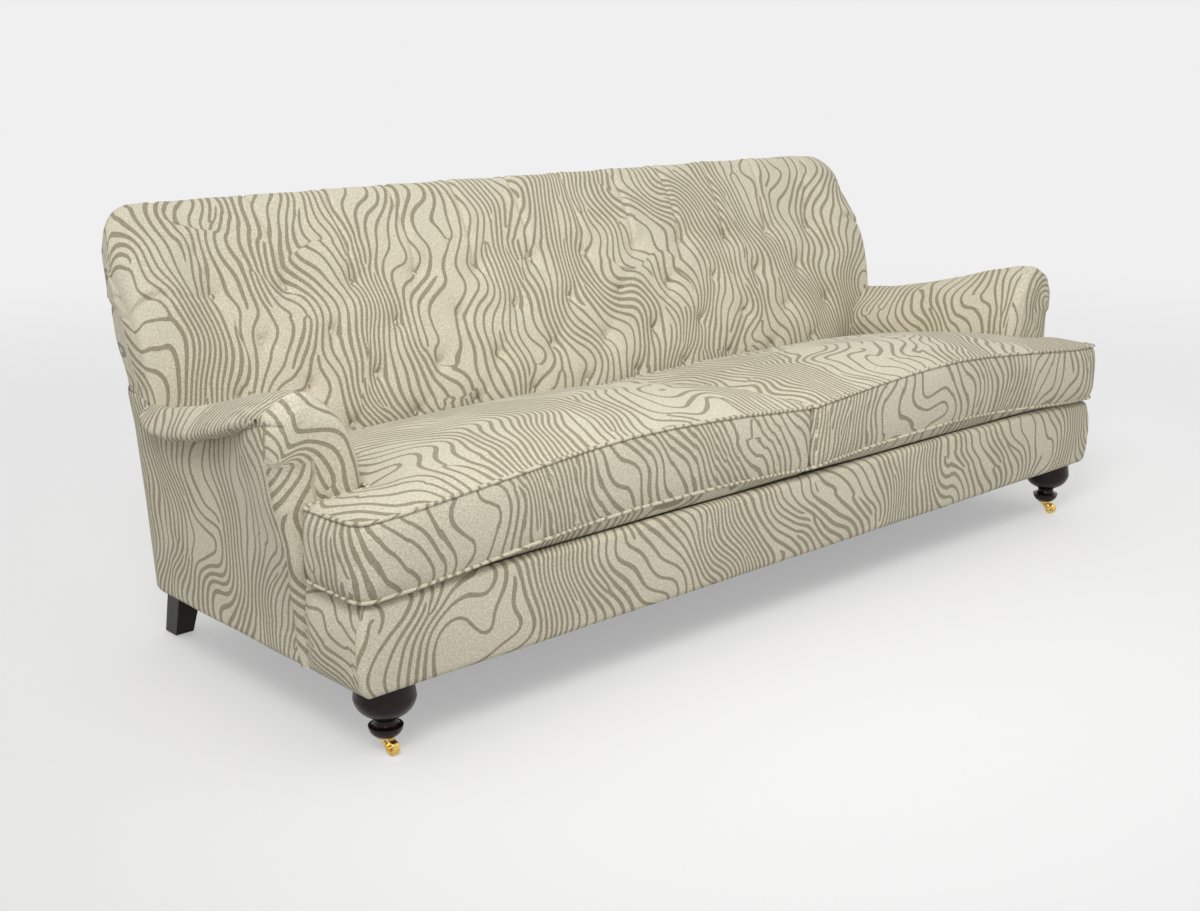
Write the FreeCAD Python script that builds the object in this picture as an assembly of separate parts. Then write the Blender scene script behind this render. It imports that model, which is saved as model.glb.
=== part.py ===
import FreeCAD, Part
import math
import os

V = FreeCAD.Vector

# Three-seat scroll-arm sofa with a buttoned back and two loose seat cushions.
# Lengths are millimetres. While the pieces are made, X runs along the sofa with zero
# at its middle, Y runs back from the face of the front border and Z is up from the floor.
# The finished pieces are moved so that the origin lies under the middle of the depth.

# Base
base_width = 2184.0
base_depth = 800.0
base_bottom = 132.0
seat_deck = 290.0
front_corner_radius = 35.0
rear_corner_radius = 90.0
border_return = 178.0
border_lean = 8.0
border_edge_radius = 24.0
border_top_depth = 110.0
fabric_wrap = 2.0
side_padding = 12.0
front_padding = 14.0

# Frame boards
board = 28.0
rail_height = 124.0
post_width = 36.0
post_depth = 56.0
arm_post_width = 50.0
arm_post_depth = 60.0
arm_rail_thickness = 22.0
arm_rail_drop = 80.0
arm_rail_cover = 38.0
arm_rail_set_in = 22.0
arm_rail_rear_gap = 24.0
arm_rail_side_gap = 1.0
arm_rail_middle_width = 62.0
arm_rail_rear_width = 26.0
tuck_rail_height = 40.0
tuck_rail_lift = 10.0
top_rail_height = 44.0
top_rail_cover = 54.0
upright_depth = 40.0
upright_offset_share = 0.306
stretcher_height = 66.0
stretcher_offset_share = 0.311
block_height = 56.0
block_leg = 92.0
facing_board_thickness = 12.0
facing_board_inset = 12.0

# Outside of the back
back_panel_thickness = 6.0
back_set_in = 12.0
back_top = 860.0
back_panel_drop = 60.0
back_rake_share = 0.175
wing_gap = 1.0

# Back pad, as shares of its height above the deck and of its thickness in front of the rear face
back_thickness = 185.4
back_height_shares = (0.0, 0.186, 0.353, 0.523, 0.688, 0.793, 0.895, 0.968, 1.0)
field_thickness_shares = (0.912, 1.0, 0.954, 0.864, 0.711, 0.620, 0.511, 0.412, 0.235)
end_thickness_shares = (0.820, 0.877, 0.936, 0.951, 0.871, 0.750, 0.615, 0.446, 0.235)
crown_rear_height_shares = (0.981, 0.921)
crown_rear_thickness_shares = (0.077, 0.002)
field_end_gap = 76.0
field_fade = 104.0
ear_bottom_gap = 3.0
ear_width_shares = (0.0, 0.36, 0.68, 0.88, 1.0)
ear_top_drops = (2.0, 12.0, 32.0, 55.0, 85.0)
ear_thickness_shares = (1.0, 1.0, 0.94, 0.82, 0.60)
ear_spine = 60.0

# Buttons
button_columns = (12, 11, 12, 11)
button_row_height_shares = (0.704, 0.534, 0.364, 0.194)
button_radius = 7.0
button_height = 5.0
button_seat_gap = 0.5
tuft_depth = 16.0
tuft_radius = 78.0
tuft_slope_step = 24.0

# Arms
arm_overhang = 65.0
arm_front = 172.0
arm_set_in = 116.0
arm_rear_reach = 40.0
arm_facing_thickness = 6.0
arm_pad_thickness = 26.0
arm_top = 617.0
arm_station_shares = (0.0, 0.053, 0.162, 0.283, 0.408, 0.537, 0.677, 0.812, 0.917, 0.970, 1.0)
arm_drop_shares = (0.0, 0.016, 0.042, 0.079, 0.117, 0.149, 0.178, 0.182, 0.174, 0.170, 0.170)
arm_draw_in_shares = (0.0, 0.04, 0.12, 0.20, 0.28, 0.36, 0.45, 0.60, 0.80, 1.15, 1.60)
arm_roll_shares = (1.0, 0.97, 0.90, 0.83, 0.77, 0.70, 0.63, 0.57, 0.58, 0.50, 0.42)
arm_roll_radius = 60.0
roll_tuck_share = 1.62
roll_curl_share = 1.45
piping_radius = 4.0
piping_gap = 0.15

# Seat cushions
cushion_gap = 0.3
cushion_overhang = 8.0
cushion_wing = 12.0
cushion_front_radius = 55.0
cushion_corner_radius = 22.0
cushion_notch_radius = 8.5
cushion_rear_gap = 4.0
cushion_level_shares = (0.0, 0.018, 0.054, 0.23, 0.41, 0.58, 0.76, 0.815, 0.87, 0.92, 0.95)
cushion_inset_shares = (0.20, 0.07, 0.0, 0.07, 0.10, 0.07, 0.0, 0.16, 0.38, 0.62, 0.86)
cushion_inset = 80.0
front_inset_share = 0.60
corner_inset_share = 0.20
cushion_height = 182.0
crest_level_shares = (0.90, 0.95, 0.985, 1.0)
crest_insets = (96.0, 112.0, 150.0, 205.0)
cover_wall = 3.0
fill_gap = 0.3
zip_length = 620.0
zip_height = 12.0
zip_thickness = 2.0
zip_seat_gap = 0.5

# Springs, webbing and deck
wire_radius = 1.9
spring_count = 12
spring_runs = 17
spring_half_width = 34.0
clip_width = 14.0
clip_set_in = 13.0
clip_gap = 0.05
clip_wall = 2.0
tie_radius = 1.2
deck_pad_thickness = 24.0
strap_count = 5
strap_height = 50.0
strap_thickness = 2.0
strap_start_gap = 40.0
dust_cover_thickness = 1.0
dust_cover_gap = 0.6

# Front feet and castors
foot_set_in = 72.0
foot_y = 58.0
foot_bottom = 30.0
foot_profile_radii = (16.0, 24.5, 30.0, 19.0, 27.0, 42.0, 54.0, 50.0)
foot_profile_heights = (0.0, 6.0, 20.0, 31.0, 39.0, 48.0, 72.0, 101.8)
plate_radius = 16.0
plate_thickness = 2.0
stem_radius = 4.0
stem_length = 28.0
running_gap = 0.06
swivel_gap = 0.3
swivel_radius = 11.0
swivel_thickness = 3.0
wheel_radius = 13.0
wheel_width = 14.0
wheel_trail = 18.0
wheel_edge = 2.0
axle_radius = 2.0
axle_head = 1.6
cheek_gap = 0.5
cheek_thickness = 2.4
cheek_round = 5.5
screw_radius = 1.5
screw_length = 14.0
screw_circle = 13.6
screw_count = 3

# Rear legs
leg_bottom_width = 39.0
leg_bottom_depth = 43.0
leg_kick = 38.0
leg_top_width = 55.0
leg_top_depth = 48.0
leg_side_gap = 1.0
leg_overlap_gap = 9.0
glide_radius = 11.0
glide_height = 3.0
bolt_radius = 4.0
bolt_gap = 0.1
bolt_length = 110.0
leg_bolt_lift = 62.0
foot_bolt_lift = 68.0

# Places worked out from the sizes
half = base_width / 2
rail_bottom = base_bottom + fabric_wrap
rail_top = rail_bottom + rail_height
side_rail_out = half - side_padding
side_rail_in = side_rail_out - board
front_rail_front = front_padding
front_rail_back = front_padding + board
post_out = half - rear_corner_radius
post_in = post_out - post_width
arm_in = half - arm_set_in
arm_out = half + arm_overhang
back_half = half - back_set_in
back_panel_top = back_top - back_panel_drop
back_height = back_top - seat_deck
field_half_width = arm_in - field_end_gap
foot_x = half - foot_set_in
pad_in = arm_in + arm_pad_thickness
arm_board_front = arm_front + arm_facing_thickness
arm_pad_front = arm_board_front + facing_board_thickness
cut_over = board
overrun = border_lean


def outside_y(z):
    return base_depth + back_rake_share * (z - base_bottom)


def post_rear_y(z):
    return outside_y(z) - back_panel_thickness


def post_front_y(z):
    return post_rear_y(z) - post_depth


rear_rail_front = post_front_y(base_bottom)
front_most = -(cushion_overhang + 2 * piping_radius + piping_gap)
made = {}


def box(x0, x1, y0, y1, z0, z1):
    return Part.makeBox(x1 - x0, y1 - y0, z1 - z0, V(x0, y0, z0))


def face_of(points):
    return Part.Face(Part.makePolygon(points + [points[0]]))


def side_prism(x0, x1, outline):
    points = [V(x0, y, z) for y, z in outline]
    return face_of(points).extrude(V(x1 - x0, 0, 0))


def plan_prism(outline, z0, z1):
    points = [V(x, y, z0) for x, y in outline]
    return face_of(points).extrude(V(0, 0, z1 - z0))


def mirrored(shape):
    return shape.mirror(V(0, 0, 0), V(1, 0, 0))


def both(shape):
    return [shape, mirrored(shape)]


def cylinder(radius, start, along):
    return Part.makeCylinder(radius, along.Length, start, along)


def keep(name, shapes):
    solids = shapes if isinstance(shapes, list) else [shapes]
    made[name] = [solid for shape in solids for solid in shape.Solids]


def keep_pair(stem, shape):
    keep(stem + "_right", shape)
    keep(stem + "_left", mirrored(shape))


def chain(points):
    edges = []
    for i in range(0, len(points) - 2, 2):
        edges.append(Part.Arc(points[i], points[i + 1], points[i + 2]).toShape())
    return edges


def lines(points):
    return [Part.LineSegment(a, b).toShape() for a, b in zip(points, points[1:])]


def rounded_wire(corners, z):
    count = len(corners)
    ends = []
    for i, (x, y, radius) in enumerate(corners):
        corner = V(x, y, z)
        before = V(corners[i - 1][0], corners[i - 1][1], z)
        after = V(corners[(i + 1) % count][0], corners[(i + 1) % count][1], z)
        toward = (before - corner).normalize()
        onward = (after - corner).normalize()
        half_angle = toward.getAngle(onward) / 2
        reach = radius / math.tan(half_angle)
        bisector = (toward + onward).normalize()
        middle = corner + bisector * (radius / math.sin(half_angle) - radius)
        ends.append((corner + toward * reach, middle, corner + onward * reach))
    edges = []
    for i, (start, middle, end) in enumerate(ends):
        edges.append(Part.Arc(start, middle, end).toShape())
        edges.append(Part.LineSegment(end, ends[(i + 1) % count][0]).toShape())
    return Part.Wire(edges)


# Bottom rails, posts and stretchers
def raked(x0, x1, z0, z1, depth):
    outline = [(post_front_y(z0), z0), (post_front_y(z0) + depth, z0),
               (post_front_y(z1) + depth, z1), (post_front_y(z1), z1)]
    return side_prism(x0, x1, outline)


front_rail = box(-side_rail_in, side_rail_in, front_rail_front, front_rail_back,
                 rail_bottom, rail_top)
side_rail = box(side_rail_in, side_rail_out, front_rail_front, rear_rail_front,
                rail_bottom, rail_top)
rear_rail = box(-post_in, post_in, rear_rail_front, rear_rail_front + board,
                rail_bottom, rail_top)
keep("front_rail", front_rail)
keep_pair("side_rail", side_rail)

top_rail_bottom = back_top - top_rail_cover - top_rail_height
post_top = top_rail_bottom + top_rail_height
back_post = raked(post_in, post_out, rail_bottom, post_top, post_depth)
back_top_rail = raked(-post_in, post_in, top_rail_bottom, post_top, post_depth)
back_tuck_rail = raked(-post_in, post_in, seat_deck, seat_deck + tuck_rail_height, board)
upright_middle = half * upright_offset_share
upright = raked(upright_middle - post_width / 2, upright_middle + post_width / 2,
                seat_deck + tuck_rail_height, top_rail_bottom, upright_depth)
keep("back_top_rail", back_top_rail)
keep("back_tuck_rail", back_tuck_rail)
keep("back_uprights", both(upright))
rear_rail = rear_rail.cut(Part.makeCompound(both(back_post)))
keep("rear_rail", rear_rail)

stretcher_in = half * stretcher_offset_share
stretcher = box(stretcher_in, stretcher_in + board, front_rail_back, rear_rail_front,
                rail_bottom, rail_bottom + stretcher_height)
keep("seat_stretchers", both(stretcher))

foot_axis = V(foot_x, foot_y, 0)
leg_top_x = post_in + leg_overlap_gap
leg_axis = V(leg_top_x + leg_top_width / 3, post_front_y(base_bottom) + leg_top_depth / 2, 0)
foot_bolt = cylinder(bolt_radius, foot_axis + V(0, 0, foot_bolt_lift), V(0, 0, bolt_length))
leg_bolt = cylinder(bolt_radius, leg_axis + V(0, 0, leg_bolt_lift), V(0, 0, bolt_length))
foot_bolt_hole = cylinder(bolt_radius + bolt_gap, foot_bolt.CenterOfMass - V(0, 0, bolt_length / 2),
                          V(0, 0, bolt_length))
leg_bolt_hole = cylinder(bolt_radius + bolt_gap, leg_bolt.CenterOfMass - V(0, 0, bolt_length / 2),
                         V(0, 0, bolt_length))
front_block = plan_prism([(side_rail_in, front_rail_back), (side_rail_in, front_rail_back + block_leg),
                          (side_rail_in - board, front_rail_back + block_leg),
                          (side_rail_in - block_leg, front_rail_back + board),
                          (side_rail_in - block_leg, front_rail_back)],
                         rail_bottom, rail_bottom + block_height)
rear_block = plan_prism([(side_rail_in, rear_rail_front), (side_rail_in, rear_rail_front - block_leg),
                         (side_rail_in - board, rear_rail_front - block_leg),
                         (post_in - board, rear_rail_front - board),
                         (post_in - board, rear_rail_front)],
                        rail_bottom, rail_bottom + block_height)
front_block = front_block.cut(foot_bolt_hole)
keep("corner_blocks", both(front_block) + both(rear_block))
keep("foot_bolts", both(foot_bolt) + both(leg_bolt))
back_post = back_post.cut(leg_bolt_hole)
keep_pair("back_post", back_post)

# Arm frame
arm_rail_top = arm_top - arm_roll_radius - arm_rail_cover
arm_rail_in = pad_in + arm_rail_set_in
arm_rail_out = side_rail_out - arm_rail_side_gap
arm_rail_rear = post_rear_y(arm_rail_top - arm_rail_drop) - arm_rail_rear_gap
arm_run = arm_rail_rear - arm_pad_front


def arm_rail_z(y):
    return arm_rail_top - arm_rail_drop * (y - arm_pad_front) / arm_run


arm_rail = side_prism(arm_rail_in, arm_rail_out,
                      [(arm_pad_front, arm_rail_z(arm_pad_front)),
                       (arm_rail_rear, arm_rail_z(arm_rail_rear)),
                       (arm_rail_rear, arm_rail_z(arm_rail_rear) - arm_rail_thickness),
                       (arm_pad_front, arm_rail_z(arm_pad_front) - arm_rail_thickness)])
arm_rail_plan = plan_prism([(arm_rail_in, arm_pad_front),
                            (arm_rail_out, arm_pad_front),
                            (arm_rail_in + arm_rail_middle_width, rear_rail_front - arm_post_depth),
                            (arm_rail_in + arm_rail_rear_width, arm_rail_rear),
                            (arm_rail_in, arm_rail_rear)], seat_deck, arm_top)
arm_rail = arm_rail.common(arm_rail_plan)
arm_post_back = arm_pad_front + arm_post_depth
arm_post = side_prism(pad_in, pad_in + arm_post_width,
                      [(arm_pad_front, rail_bottom), (arm_post_back, rail_bottom),
                       (arm_post_back, arm_rail_z(arm_post_back) - arm_rail_thickness),
                       (arm_pad_front, arm_rail_z(arm_pad_front) - arm_rail_thickness)])
tuck_bottom = seat_deck + tuck_rail_lift
arm_tuck_rail = box(pad_in, pad_in + board, arm_post_back,
                    post_front_y(tuck_bottom) + board, tuck_bottom, tuck_bottom + tuck_rail_height)
keep_pair("arm_post", arm_post)
keep_pair("arm_top_rail", arm_rail)
keep("arm_tuck_rails", both(arm_tuck_rail))


# Arm padding: an inside face that turns over the rail into an outward roll
arm_length = base_depth + arm_rear_reach - arm_pad_front


def arm_stations():
    stations = []
    for i, share in enumerate(arm_station_shares):
        y = arm_pad_front + arm_length * share
        top = arm_top - arm_top * arm_drop_shares[i]
        out = arm_out - arm_roll_radius * arm_draw_in_shares[i]
        roll = arm_roll_radius * arm_roll_shares[i]
        stations.append((y, top, out, roll))
    return stations


shoulder_shares = (0.11, 0.61, 0.82)
corner_share = 1 - math.sqrt(0.5)


def scroll_curve(y, top, out, roll, inner):
    rise = out - roll - inner
    return [V(inner, y, top - 2.6 * roll),
            V(inner + rise * shoulder_shares[0], y, top - 1.5 * roll),
            V(inner + rise * shoulder_shares[1], y, top - 0.42 * roll),
            V(inner + rise * shoulder_shares[2], y, top - 0.11 * roll),
            V(out - roll, y, top),
            V(out - roll * corner_share, y, top - roll * corner_share),
            V(out, y, top - roll),
            V(out - roll * 0.16, y, top - roll * 1.3),
            V(out - roll * 0.46, y, top - roll * roll_curl_share)]


def arm_section(y, top, out, roll):
    curve = scroll_curve(y, top, out, roll, arm_in)
    tuck_z = top - roll_tuck_share * roll
    tuck_x = min(half, out - roll * 0.7)
    low = seat_deck - deck_pad_thickness
    rest = [curve[-1], V(tuck_x, y, tuck_z), V(pad_in, y, tuck_z), V(pad_in, y, low),
            V(arm_in, y, low), curve[0]]
    return Part.Wire(chain(curve) + lines(rest))


stations = arm_stations()
arm_pad = Part.makeLoft([arm_section(*station) for station in stations], True, True)
rear_clear = post_front_y(seat_deck)
inner_cut = box(arm_in - cut_over, pad_in, rear_clear - side_padding, base_depth + arm_out,
                base_bottom, arm_top)
arm_pad = arm_pad.cut(Part.makeCompound([inner_cut, arm_rail, arm_post]))
keep_pair("arm_pad", arm_pad)


# Arm facing and the scroll-shaped board behind it
def facing_outline(y, inset, low, tuck_out, low_out):
    curve = scroll_curve(y, arm_top - inset, arm_out - inset, arm_roll_radius, arm_in + inset)
    tuck_z = arm_top - roll_tuck_share * arm_roll_radius
    rest = [curve[-1], V(tuck_out, y, tuck_z), V(low_out, y, tuck_z - board),
            V(low_out, y, low), V(arm_in + inset, y, low), curve[0]]
    return Part.Face(Part.Wire(chain(curve) + lines(rest)))


facing_low = seat_deck + cushion_gap
arm_facing = facing_outline(arm_front, 0, facing_low, half + side_padding, half)
arm_facing = arm_facing.extrude(V(0, arm_facing_thickness + facing_board_thickness, 0))
facing_board = facing_outline(arm_board_front, facing_board_inset, rail_top, side_rail_out,
                              side_rail_out)
facing_board = facing_board.extrude(V(0, facing_board_thickness, 0))
arm_facing = arm_facing.cut(facing_board)
keep_pair("arm_facing", arm_facing)
keep_pair("facing_board", facing_board)

# Outside arm panel: flat under the roll, then round the rear corner up to the back
corner_start = base_depth - rear_corner_radius
tuck_line = [(y, top - roll_tuck_share * roll) for y, top, out, roll in stations]
panel_start = arm_pad_front + fill_gap
panel_points = [(arm_board_front + fill_gap, base_bottom)]
panel_points.append((arm_board_front + fill_gap, facing_low - fill_gap))
panel_points.append((panel_start, facing_low - fill_gap))
panel_points.append((panel_start, tuck_line[0][1] - fill_gap))
wing_top = min(z for y, z in tuck_line) - wing_gap
for y, z in tuck_line:
    if panel_start < y < corner_start:
        panel_points.append((y, z))
panel_points.append((corner_start + back_rake_share * (wing_top - base_bottom), wing_top))
panel_points.append((corner_start, base_bottom))
outside_arm = side_prism(side_rail_out, half, panel_points)


def corner_arc(radius):
    middle = radius * math.sqrt(0.5)
    return [V(post_out + radius, corner_start, base_bottom),
            V(post_out + middle, corner_start + middle, base_bottom),
            V(post_out, corner_start + radius, base_bottom)]


outer_arc = corner_arc(rear_corner_radius)
inner_arc = corner_arc(rear_corner_radius - back_panel_thickness)[::-1]
wing_edges = chain(outer_arc) + lines([outer_arc[2], inner_arc[0]])
wing_edges += chain(inner_arc) + lines([inner_arc[2], outer_arc[0]])
rise = wing_top - base_bottom
wing = Part.Face(Part.Wire(wing_edges)).extrude(V(0, back_rake_share * rise, rise))
outside_arm = outside_arm.fuse(wing).removeSplitter()
keep_pair("outside_arm_panel", outside_arm)

# Piping under the roll of each arm
pipe_x = half + piping_radius + piping_gap
pipe_rings = []
for y, z in tuck_line:
    if y < corner_start:
        centre = V(pipe_x, y, z - piping_radius - piping_gap)
        pipe_rings.append(Part.Wire(Part.makeCircle(piping_radius, centre, V(0, 1, 0))))
keep_pair("arm_piping", Part.makeLoft(pipe_rings, True, True))


# Front border: padded cover of the front rail that returns round both corners
def border_plan(inset, z0, z1):
    front = [(-half + inset, border_return), (-half + inset, inset), (half - inset, inset),
             (half - inset, border_return)]
    return plan_prism(front, z0, z1)


border = border_plan(0, base_bottom, seat_deck)
upright_edges = [e for e in border.Edges if abs(e.Vertexes[0].Z - e.Vertexes[-1].Z) > fabric_wrap
                 and e.CenterOfMass.y < fabric_wrap]
border = border.makeFillet(front_corner_radius, upright_edges)
top_edges = [e for e in border.Edges if abs(e.BoundBox.ZMin - seat_deck) < fill_gap
             and abs(e.BoundBox.ZMax - seat_deck) < fill_gap
             and e.CenterOfMass.y < border_return - fill_gap]
border = border.makeFillet(border_edge_radius, top_edges)
hollow = [box(-side_rail_out, side_rail_out, front_rail_front, border_return + cut_over,
              rail_bottom, rail_top),
          box(-pad_in - board, pad_in + board, border_top_depth, border_return + cut_over,
              base_bottom - overrun, seat_deck + overrun),
          box(-side_rail_in - side_padding, side_rail_in + side_padding, front_rail_back,
              border_return + cut_over, base_bottom - overrun, rail_bottom)]

# Seat deck: springs with their clips and ties, and the pad that covers them
spring_z = rail_top + wire_radius
spring_start = front_rail_front + clip_set_in
spring_end = rear_rail_front + clip_set_in
run_step = (spring_end - spring_start) / spring_runs
turn_radius = run_step / 2
spring_pitch = 2 * (pad_in - board) / spring_count


def spring_wire(x):
    edges = []
    side = 1
    reach = spring_half_width - turn_radius
    for i in range(spring_runs + 1):
        y = spring_start + run_step * i
        start = V(x - side * reach, y, spring_z)
        end = V(x + side * reach, y, spring_z)
        edges.append(Part.LineSegment(start, end).toShape())
        if i < spring_runs:
            tip = V(end.x + side * turn_radius, y + turn_radius, spring_z)
            lift = turn_radius * corner_share
            first = V(end.x + side * (turn_radius - lift), y + lift, spring_z)
            second = V(first.x, y + run_step - lift, spring_z)
            last = V(end.x, y + run_step, spring_z)
            edges.append(Part.Arc(end, first, tip).toShape())
            edges.append(Part.Arc(tip, second, last).toShape())
        side = -side
    path = Part.Wire(edges)
    begin = V(x - reach, spring_start, spring_z)
    section = Part.Wire(Part.makeCircle(wire_radius, begin, V(1, 0, 0)))
    return path.makePipeShell([section], True, False)


springs = []
clips = []
for i in range(spring_count):
    x = -pad_in + board + spring_pitch * (i + 0.5)
    wire = spring_wire(x)
    springs.append(wire)
    for y in (spring_start, spring_end):
        clip = box(x - clip_width / 2, x + clip_width / 2, y - clip_width / 2, y + clip_width / 2,
                   rail_top, spring_z + wire_radius + clip_wall)
        seat = wire_radius + clip_gap
        slot = box(x - clip_width, x + clip_width, y - seat, y + seat,
                   rail_top - overrun, spring_z + seat)
        clips.append(clip.cut(slot))
keep("seat_springs", springs)
keep("spring_clips", clips)
tie_z = spring_z + wire_radius + tie_radius
ties = []
for share in (0.25, 0.5, 0.75):
    y = spring_start + (spring_end - spring_start) * share
    ties.append(cylinder(tie_radius, V(-pad_in + board, y, tie_z), V(2 * (pad_in - board), 0, 0)))
keep("spring_ties", ties)
deck_low = tie_z + tie_radius
spring_room = box(-arm_in, arm_in, spring_start - clip_width / 2 - fill_gap,
                  border_return + cut_over, rail_top - overrun, deck_low)
border = border.cut(Part.makeCompound(hollow + [spring_room]))
keep("front_border", border)
deck_pad = box(-arm_in + piping_gap, arm_in - piping_gap, border_top_depth, rear_rail_front + board,
               deck_low, seat_deck)
deck_pad = deck_pad.cut(Part.makeCompound(clips + both(back_post)))
keep("seat_deck_pad", deck_pad)
dust_low = base_bottom + dust_cover_gap
dust_cover = box(-side_rail_in, side_rail_in, front_rail_back, rear_rail_front,
                 dust_low, dust_low + dust_cover_thickness)
dust_cover = dust_cover.cut(Part.makeCompound(both(foot_bolt_hole)))
keep("dust_cover", dust_cover)

# Back webbing straps on the front of the posts
straps = []
strap_low = seat_deck + tuck_rail_height + strap_start_gap
strap_step = (top_rail_bottom - strap_low) / strap_count
for i in range(strap_count):
    z0 = strap_low + strap_step * i
    z1 = z0 + strap_height
    straps.append(side_prism(-post_out, post_out,
                             [(post_front_y(z0) - strap_thickness, z0), (post_front_y(z0), z0),
                              (post_front_y(z1), z1), (post_front_y(z1) - strap_thickness, z1)]))
keep("back_webbing", straps)

# Outside back: a flat panel at the rake of the back
outside_back = side_prism(-post_out, post_out,
                          [(post_rear_y(base_bottom), base_bottom),
                           (outside_y(base_bottom), base_bottom),
                           (outside_y(back_panel_top), back_panel_top),
                           (post_rear_y(back_panel_top), back_panel_top)])
keep("outside_back_panel", outside_back)


# Back padding: a C-shaped section over the top rail, and padded ears above the arms
def face_y(height_share, weight):
    for i in range(len(back_height_shares) - 1):
        low = back_height_shares[i]
        high = back_height_shares[i + 1]
        if height_share <= high:
            break
    part = (height_share - low) / (high - low)
    field = field_thickness_shares[i] + part * (field_thickness_shares[i + 1]
                                                - field_thickness_shares[i])
    end = end_thickness_shares[i] + part * (end_thickness_shares[i + 1] - end_thickness_shares[i])
    thickness = back_thickness * (field * (1 - weight) + end * weight)
    return outside_y(seat_deck + back_height * height_share) - thickness


def back_section(x, weight, top_drop):
    reach = back_top - seat_deck - top_drop
    front = [V(x, face_y(share, weight), seat_deck + reach * share) for share in back_height_shares]
    crown = [front[-1]]
    for share, depth in zip(crown_rear_height_shares, crown_rear_thickness_shares):
        z = seat_deck + reach * share
        crown.append(V(x, outside_y(seat_deck + back_height * share) - back_thickness * depth, z))
    pad_back = strap_thickness + piping_gap
    rest = [crown[-1], V(x, outside_y(back_panel_top), back_panel_top),
            V(x, post_rear_y(back_panel_top), back_panel_top),
            V(x, post_rear_y(post_top), post_top),
            V(x, post_front_y(post_top) - pad_back, post_top),
            V(x, post_front_y(seat_deck) - pad_back, seat_deck), front[0]]
    return Part.Wire(chain(front) + chain(crown) + lines(rest))


crown_curve = back_section(0, 0, 0).Edges[len(back_height_shares) // 2].Curve
rear_most = crown_curve.Center.y + crown_curve.Radius
depth_shift = V(0, -(rear_most + front_most) / 2, 0)

field_stations = [(0, field_half_width), (0.5, field_half_width + field_fade / 2),
                  (1, field_half_width + field_fade)]
ear_start = field_half_width + field_fade
sections = []
for weight, x in reversed(field_stations):
    sections.append(back_section(-x, weight, weight * ear_top_drops[0]))
for weight, x in field_stations:
    sections.append(back_section(x, weight, weight * ear_top_drops[0]))
back_pad = Part.makeLoft(sections, True, True)
ear_bottom = max(top for y, top, out, roll in stations[6:]) + ear_bottom_gap
side_clear = box(arm_in - piping_gap, ear_start + cut_over, 0, base_depth + arm_out,
                 seat_deck - cut_over, ear_bottom)
back_pad = back_pad.cut(Part.makeCompound(both(side_clear)))

ear_span = back_half - ear_start


def ear_point(x, y, z, share):
    spine = outside_y(z) - ear_spine
    return V(x, spine + (y - spine) * share, z)


ear_sections = []
for share, drop, thickness in zip(ear_width_shares, ear_top_drops, ear_thickness_shares):
    x = ear_start + ear_span * share
    reach = back_top - drop - seat_deck
    front = [ear_point(x, face_y(level, 1), seat_deck + reach * level, thickness)
             for level in back_height_shares]
    crown = [front[-1]]
    for level, depth in zip(crown_rear_height_shares, crown_rear_thickness_shares):
        y = outside_y(seat_deck + back_height * level) - back_thickness * depth
        crown.append(ear_point(x, y, seat_deck + reach * level, thickness))
    rest = [crown[-1], ear_point(x, outside_y(seat_deck), seat_deck, thickness), front[0]]
    ear_sections.append(Part.Wire(chain(front) + chain(crown) + lines(rest)))
ear = Part.makeLoft(ear_sections, True, True)
ear_clear = box(ear_start - cut_over, back_half + cut_over, 0, base_depth + arm_out,
                seat_deck - cut_over, ear_bottom)
ear = ear.cut(Part.makeCompound([ear_clear, back_post]))
back_pad = back_pad.fuse(both(ear))

tufts = []
buttons = []
button_pitch = 2 * field_half_width / (max(button_columns) - 1)
slope_share = tuft_slope_step / back_height
for share, columns in zip(button_row_height_shares, button_columns):
    z = seat_deck + back_height * share
    y = face_y(share, 0)
    lean = face_y(share + slope_share, 0) - face_y(share - slope_share, 0)
    outward = V(0, -2 * tuft_slope_step, lean).normalize()
    for column in range(columns):
        x = button_pitch * (column - (columns - 1) / 2)
        seat = V(x, y, z) - outward * tuft_depth
        tufts.append(Part.makeSphere(tuft_radius, seat + outward * tuft_radius))
        base = seat + outward * button_seat_gap
        disc = cylinder(button_radius, base, outward * (button_height / 2))
        dome = Part.makeCone(button_radius, button_radius / 2, button_height / 2,
                             base + outward * (button_height / 2), outward)
        buttons.append(disc.fuse(dome))
back_pad = back_pad.cut(Part.makeCompound(tufts))
keep("back_pad", back_pad)
keep("back_buttons", buttons)

# Seat cushions: crowned covers with wings in front of the arms, fill, piping and zips
piping_reach = 2 * piping_radius + piping_gap
cushion_in = piping_reach + cushion_gap
cushion_rear_x = arm_in - piping_reach - cushion_gap
cushion_wing_x = half + cushion_wing
cushion_wing_y = arm_front - piping_reach - cushion_gap
cushion_rear_y = face_y(0, 0) - piping_reach - cushion_rear_gap
cushion_bottom = seat_deck + cushion_gap


def cushion_wire(inset, z, swell=0.0):
    radius = cushion_corner_radius + swell - max(inset, 0) * corner_inset_share
    front_radius = cushion_front_radius + swell - max(inset, 0) * front_inset_share
    corners = [(cushion_in + inset, -cushion_overhang + inset, radius),
               (cushion_wing_x - inset, -cushion_overhang + inset, front_radius),
               (cushion_wing_x - inset, cushion_wing_y - inset, radius),
               (cushion_rear_x - inset, cushion_wing_y - inset, cushion_notch_radius - swell),
               (cushion_rear_x - inset, cushion_rear_y - inset, radius),
               (cushion_in + inset, cushion_rear_y - inset, radius)]
    return rounded_wire(corners, z)


def crest_wire(inset, z):
    corners = [(cushion_in + inset, -cushion_overhang + inset, cushion_front_radius),
               (cushion_rear_x - inset, -cushion_overhang + inset, cushion_front_radius),
               (cushion_rear_x - inset, cushion_rear_y - inset, cushion_front_radius),
               (cushion_in + inset, cushion_rear_y - inset, cushion_front_radius)]
    return rounded_wire(corners, z)


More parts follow.
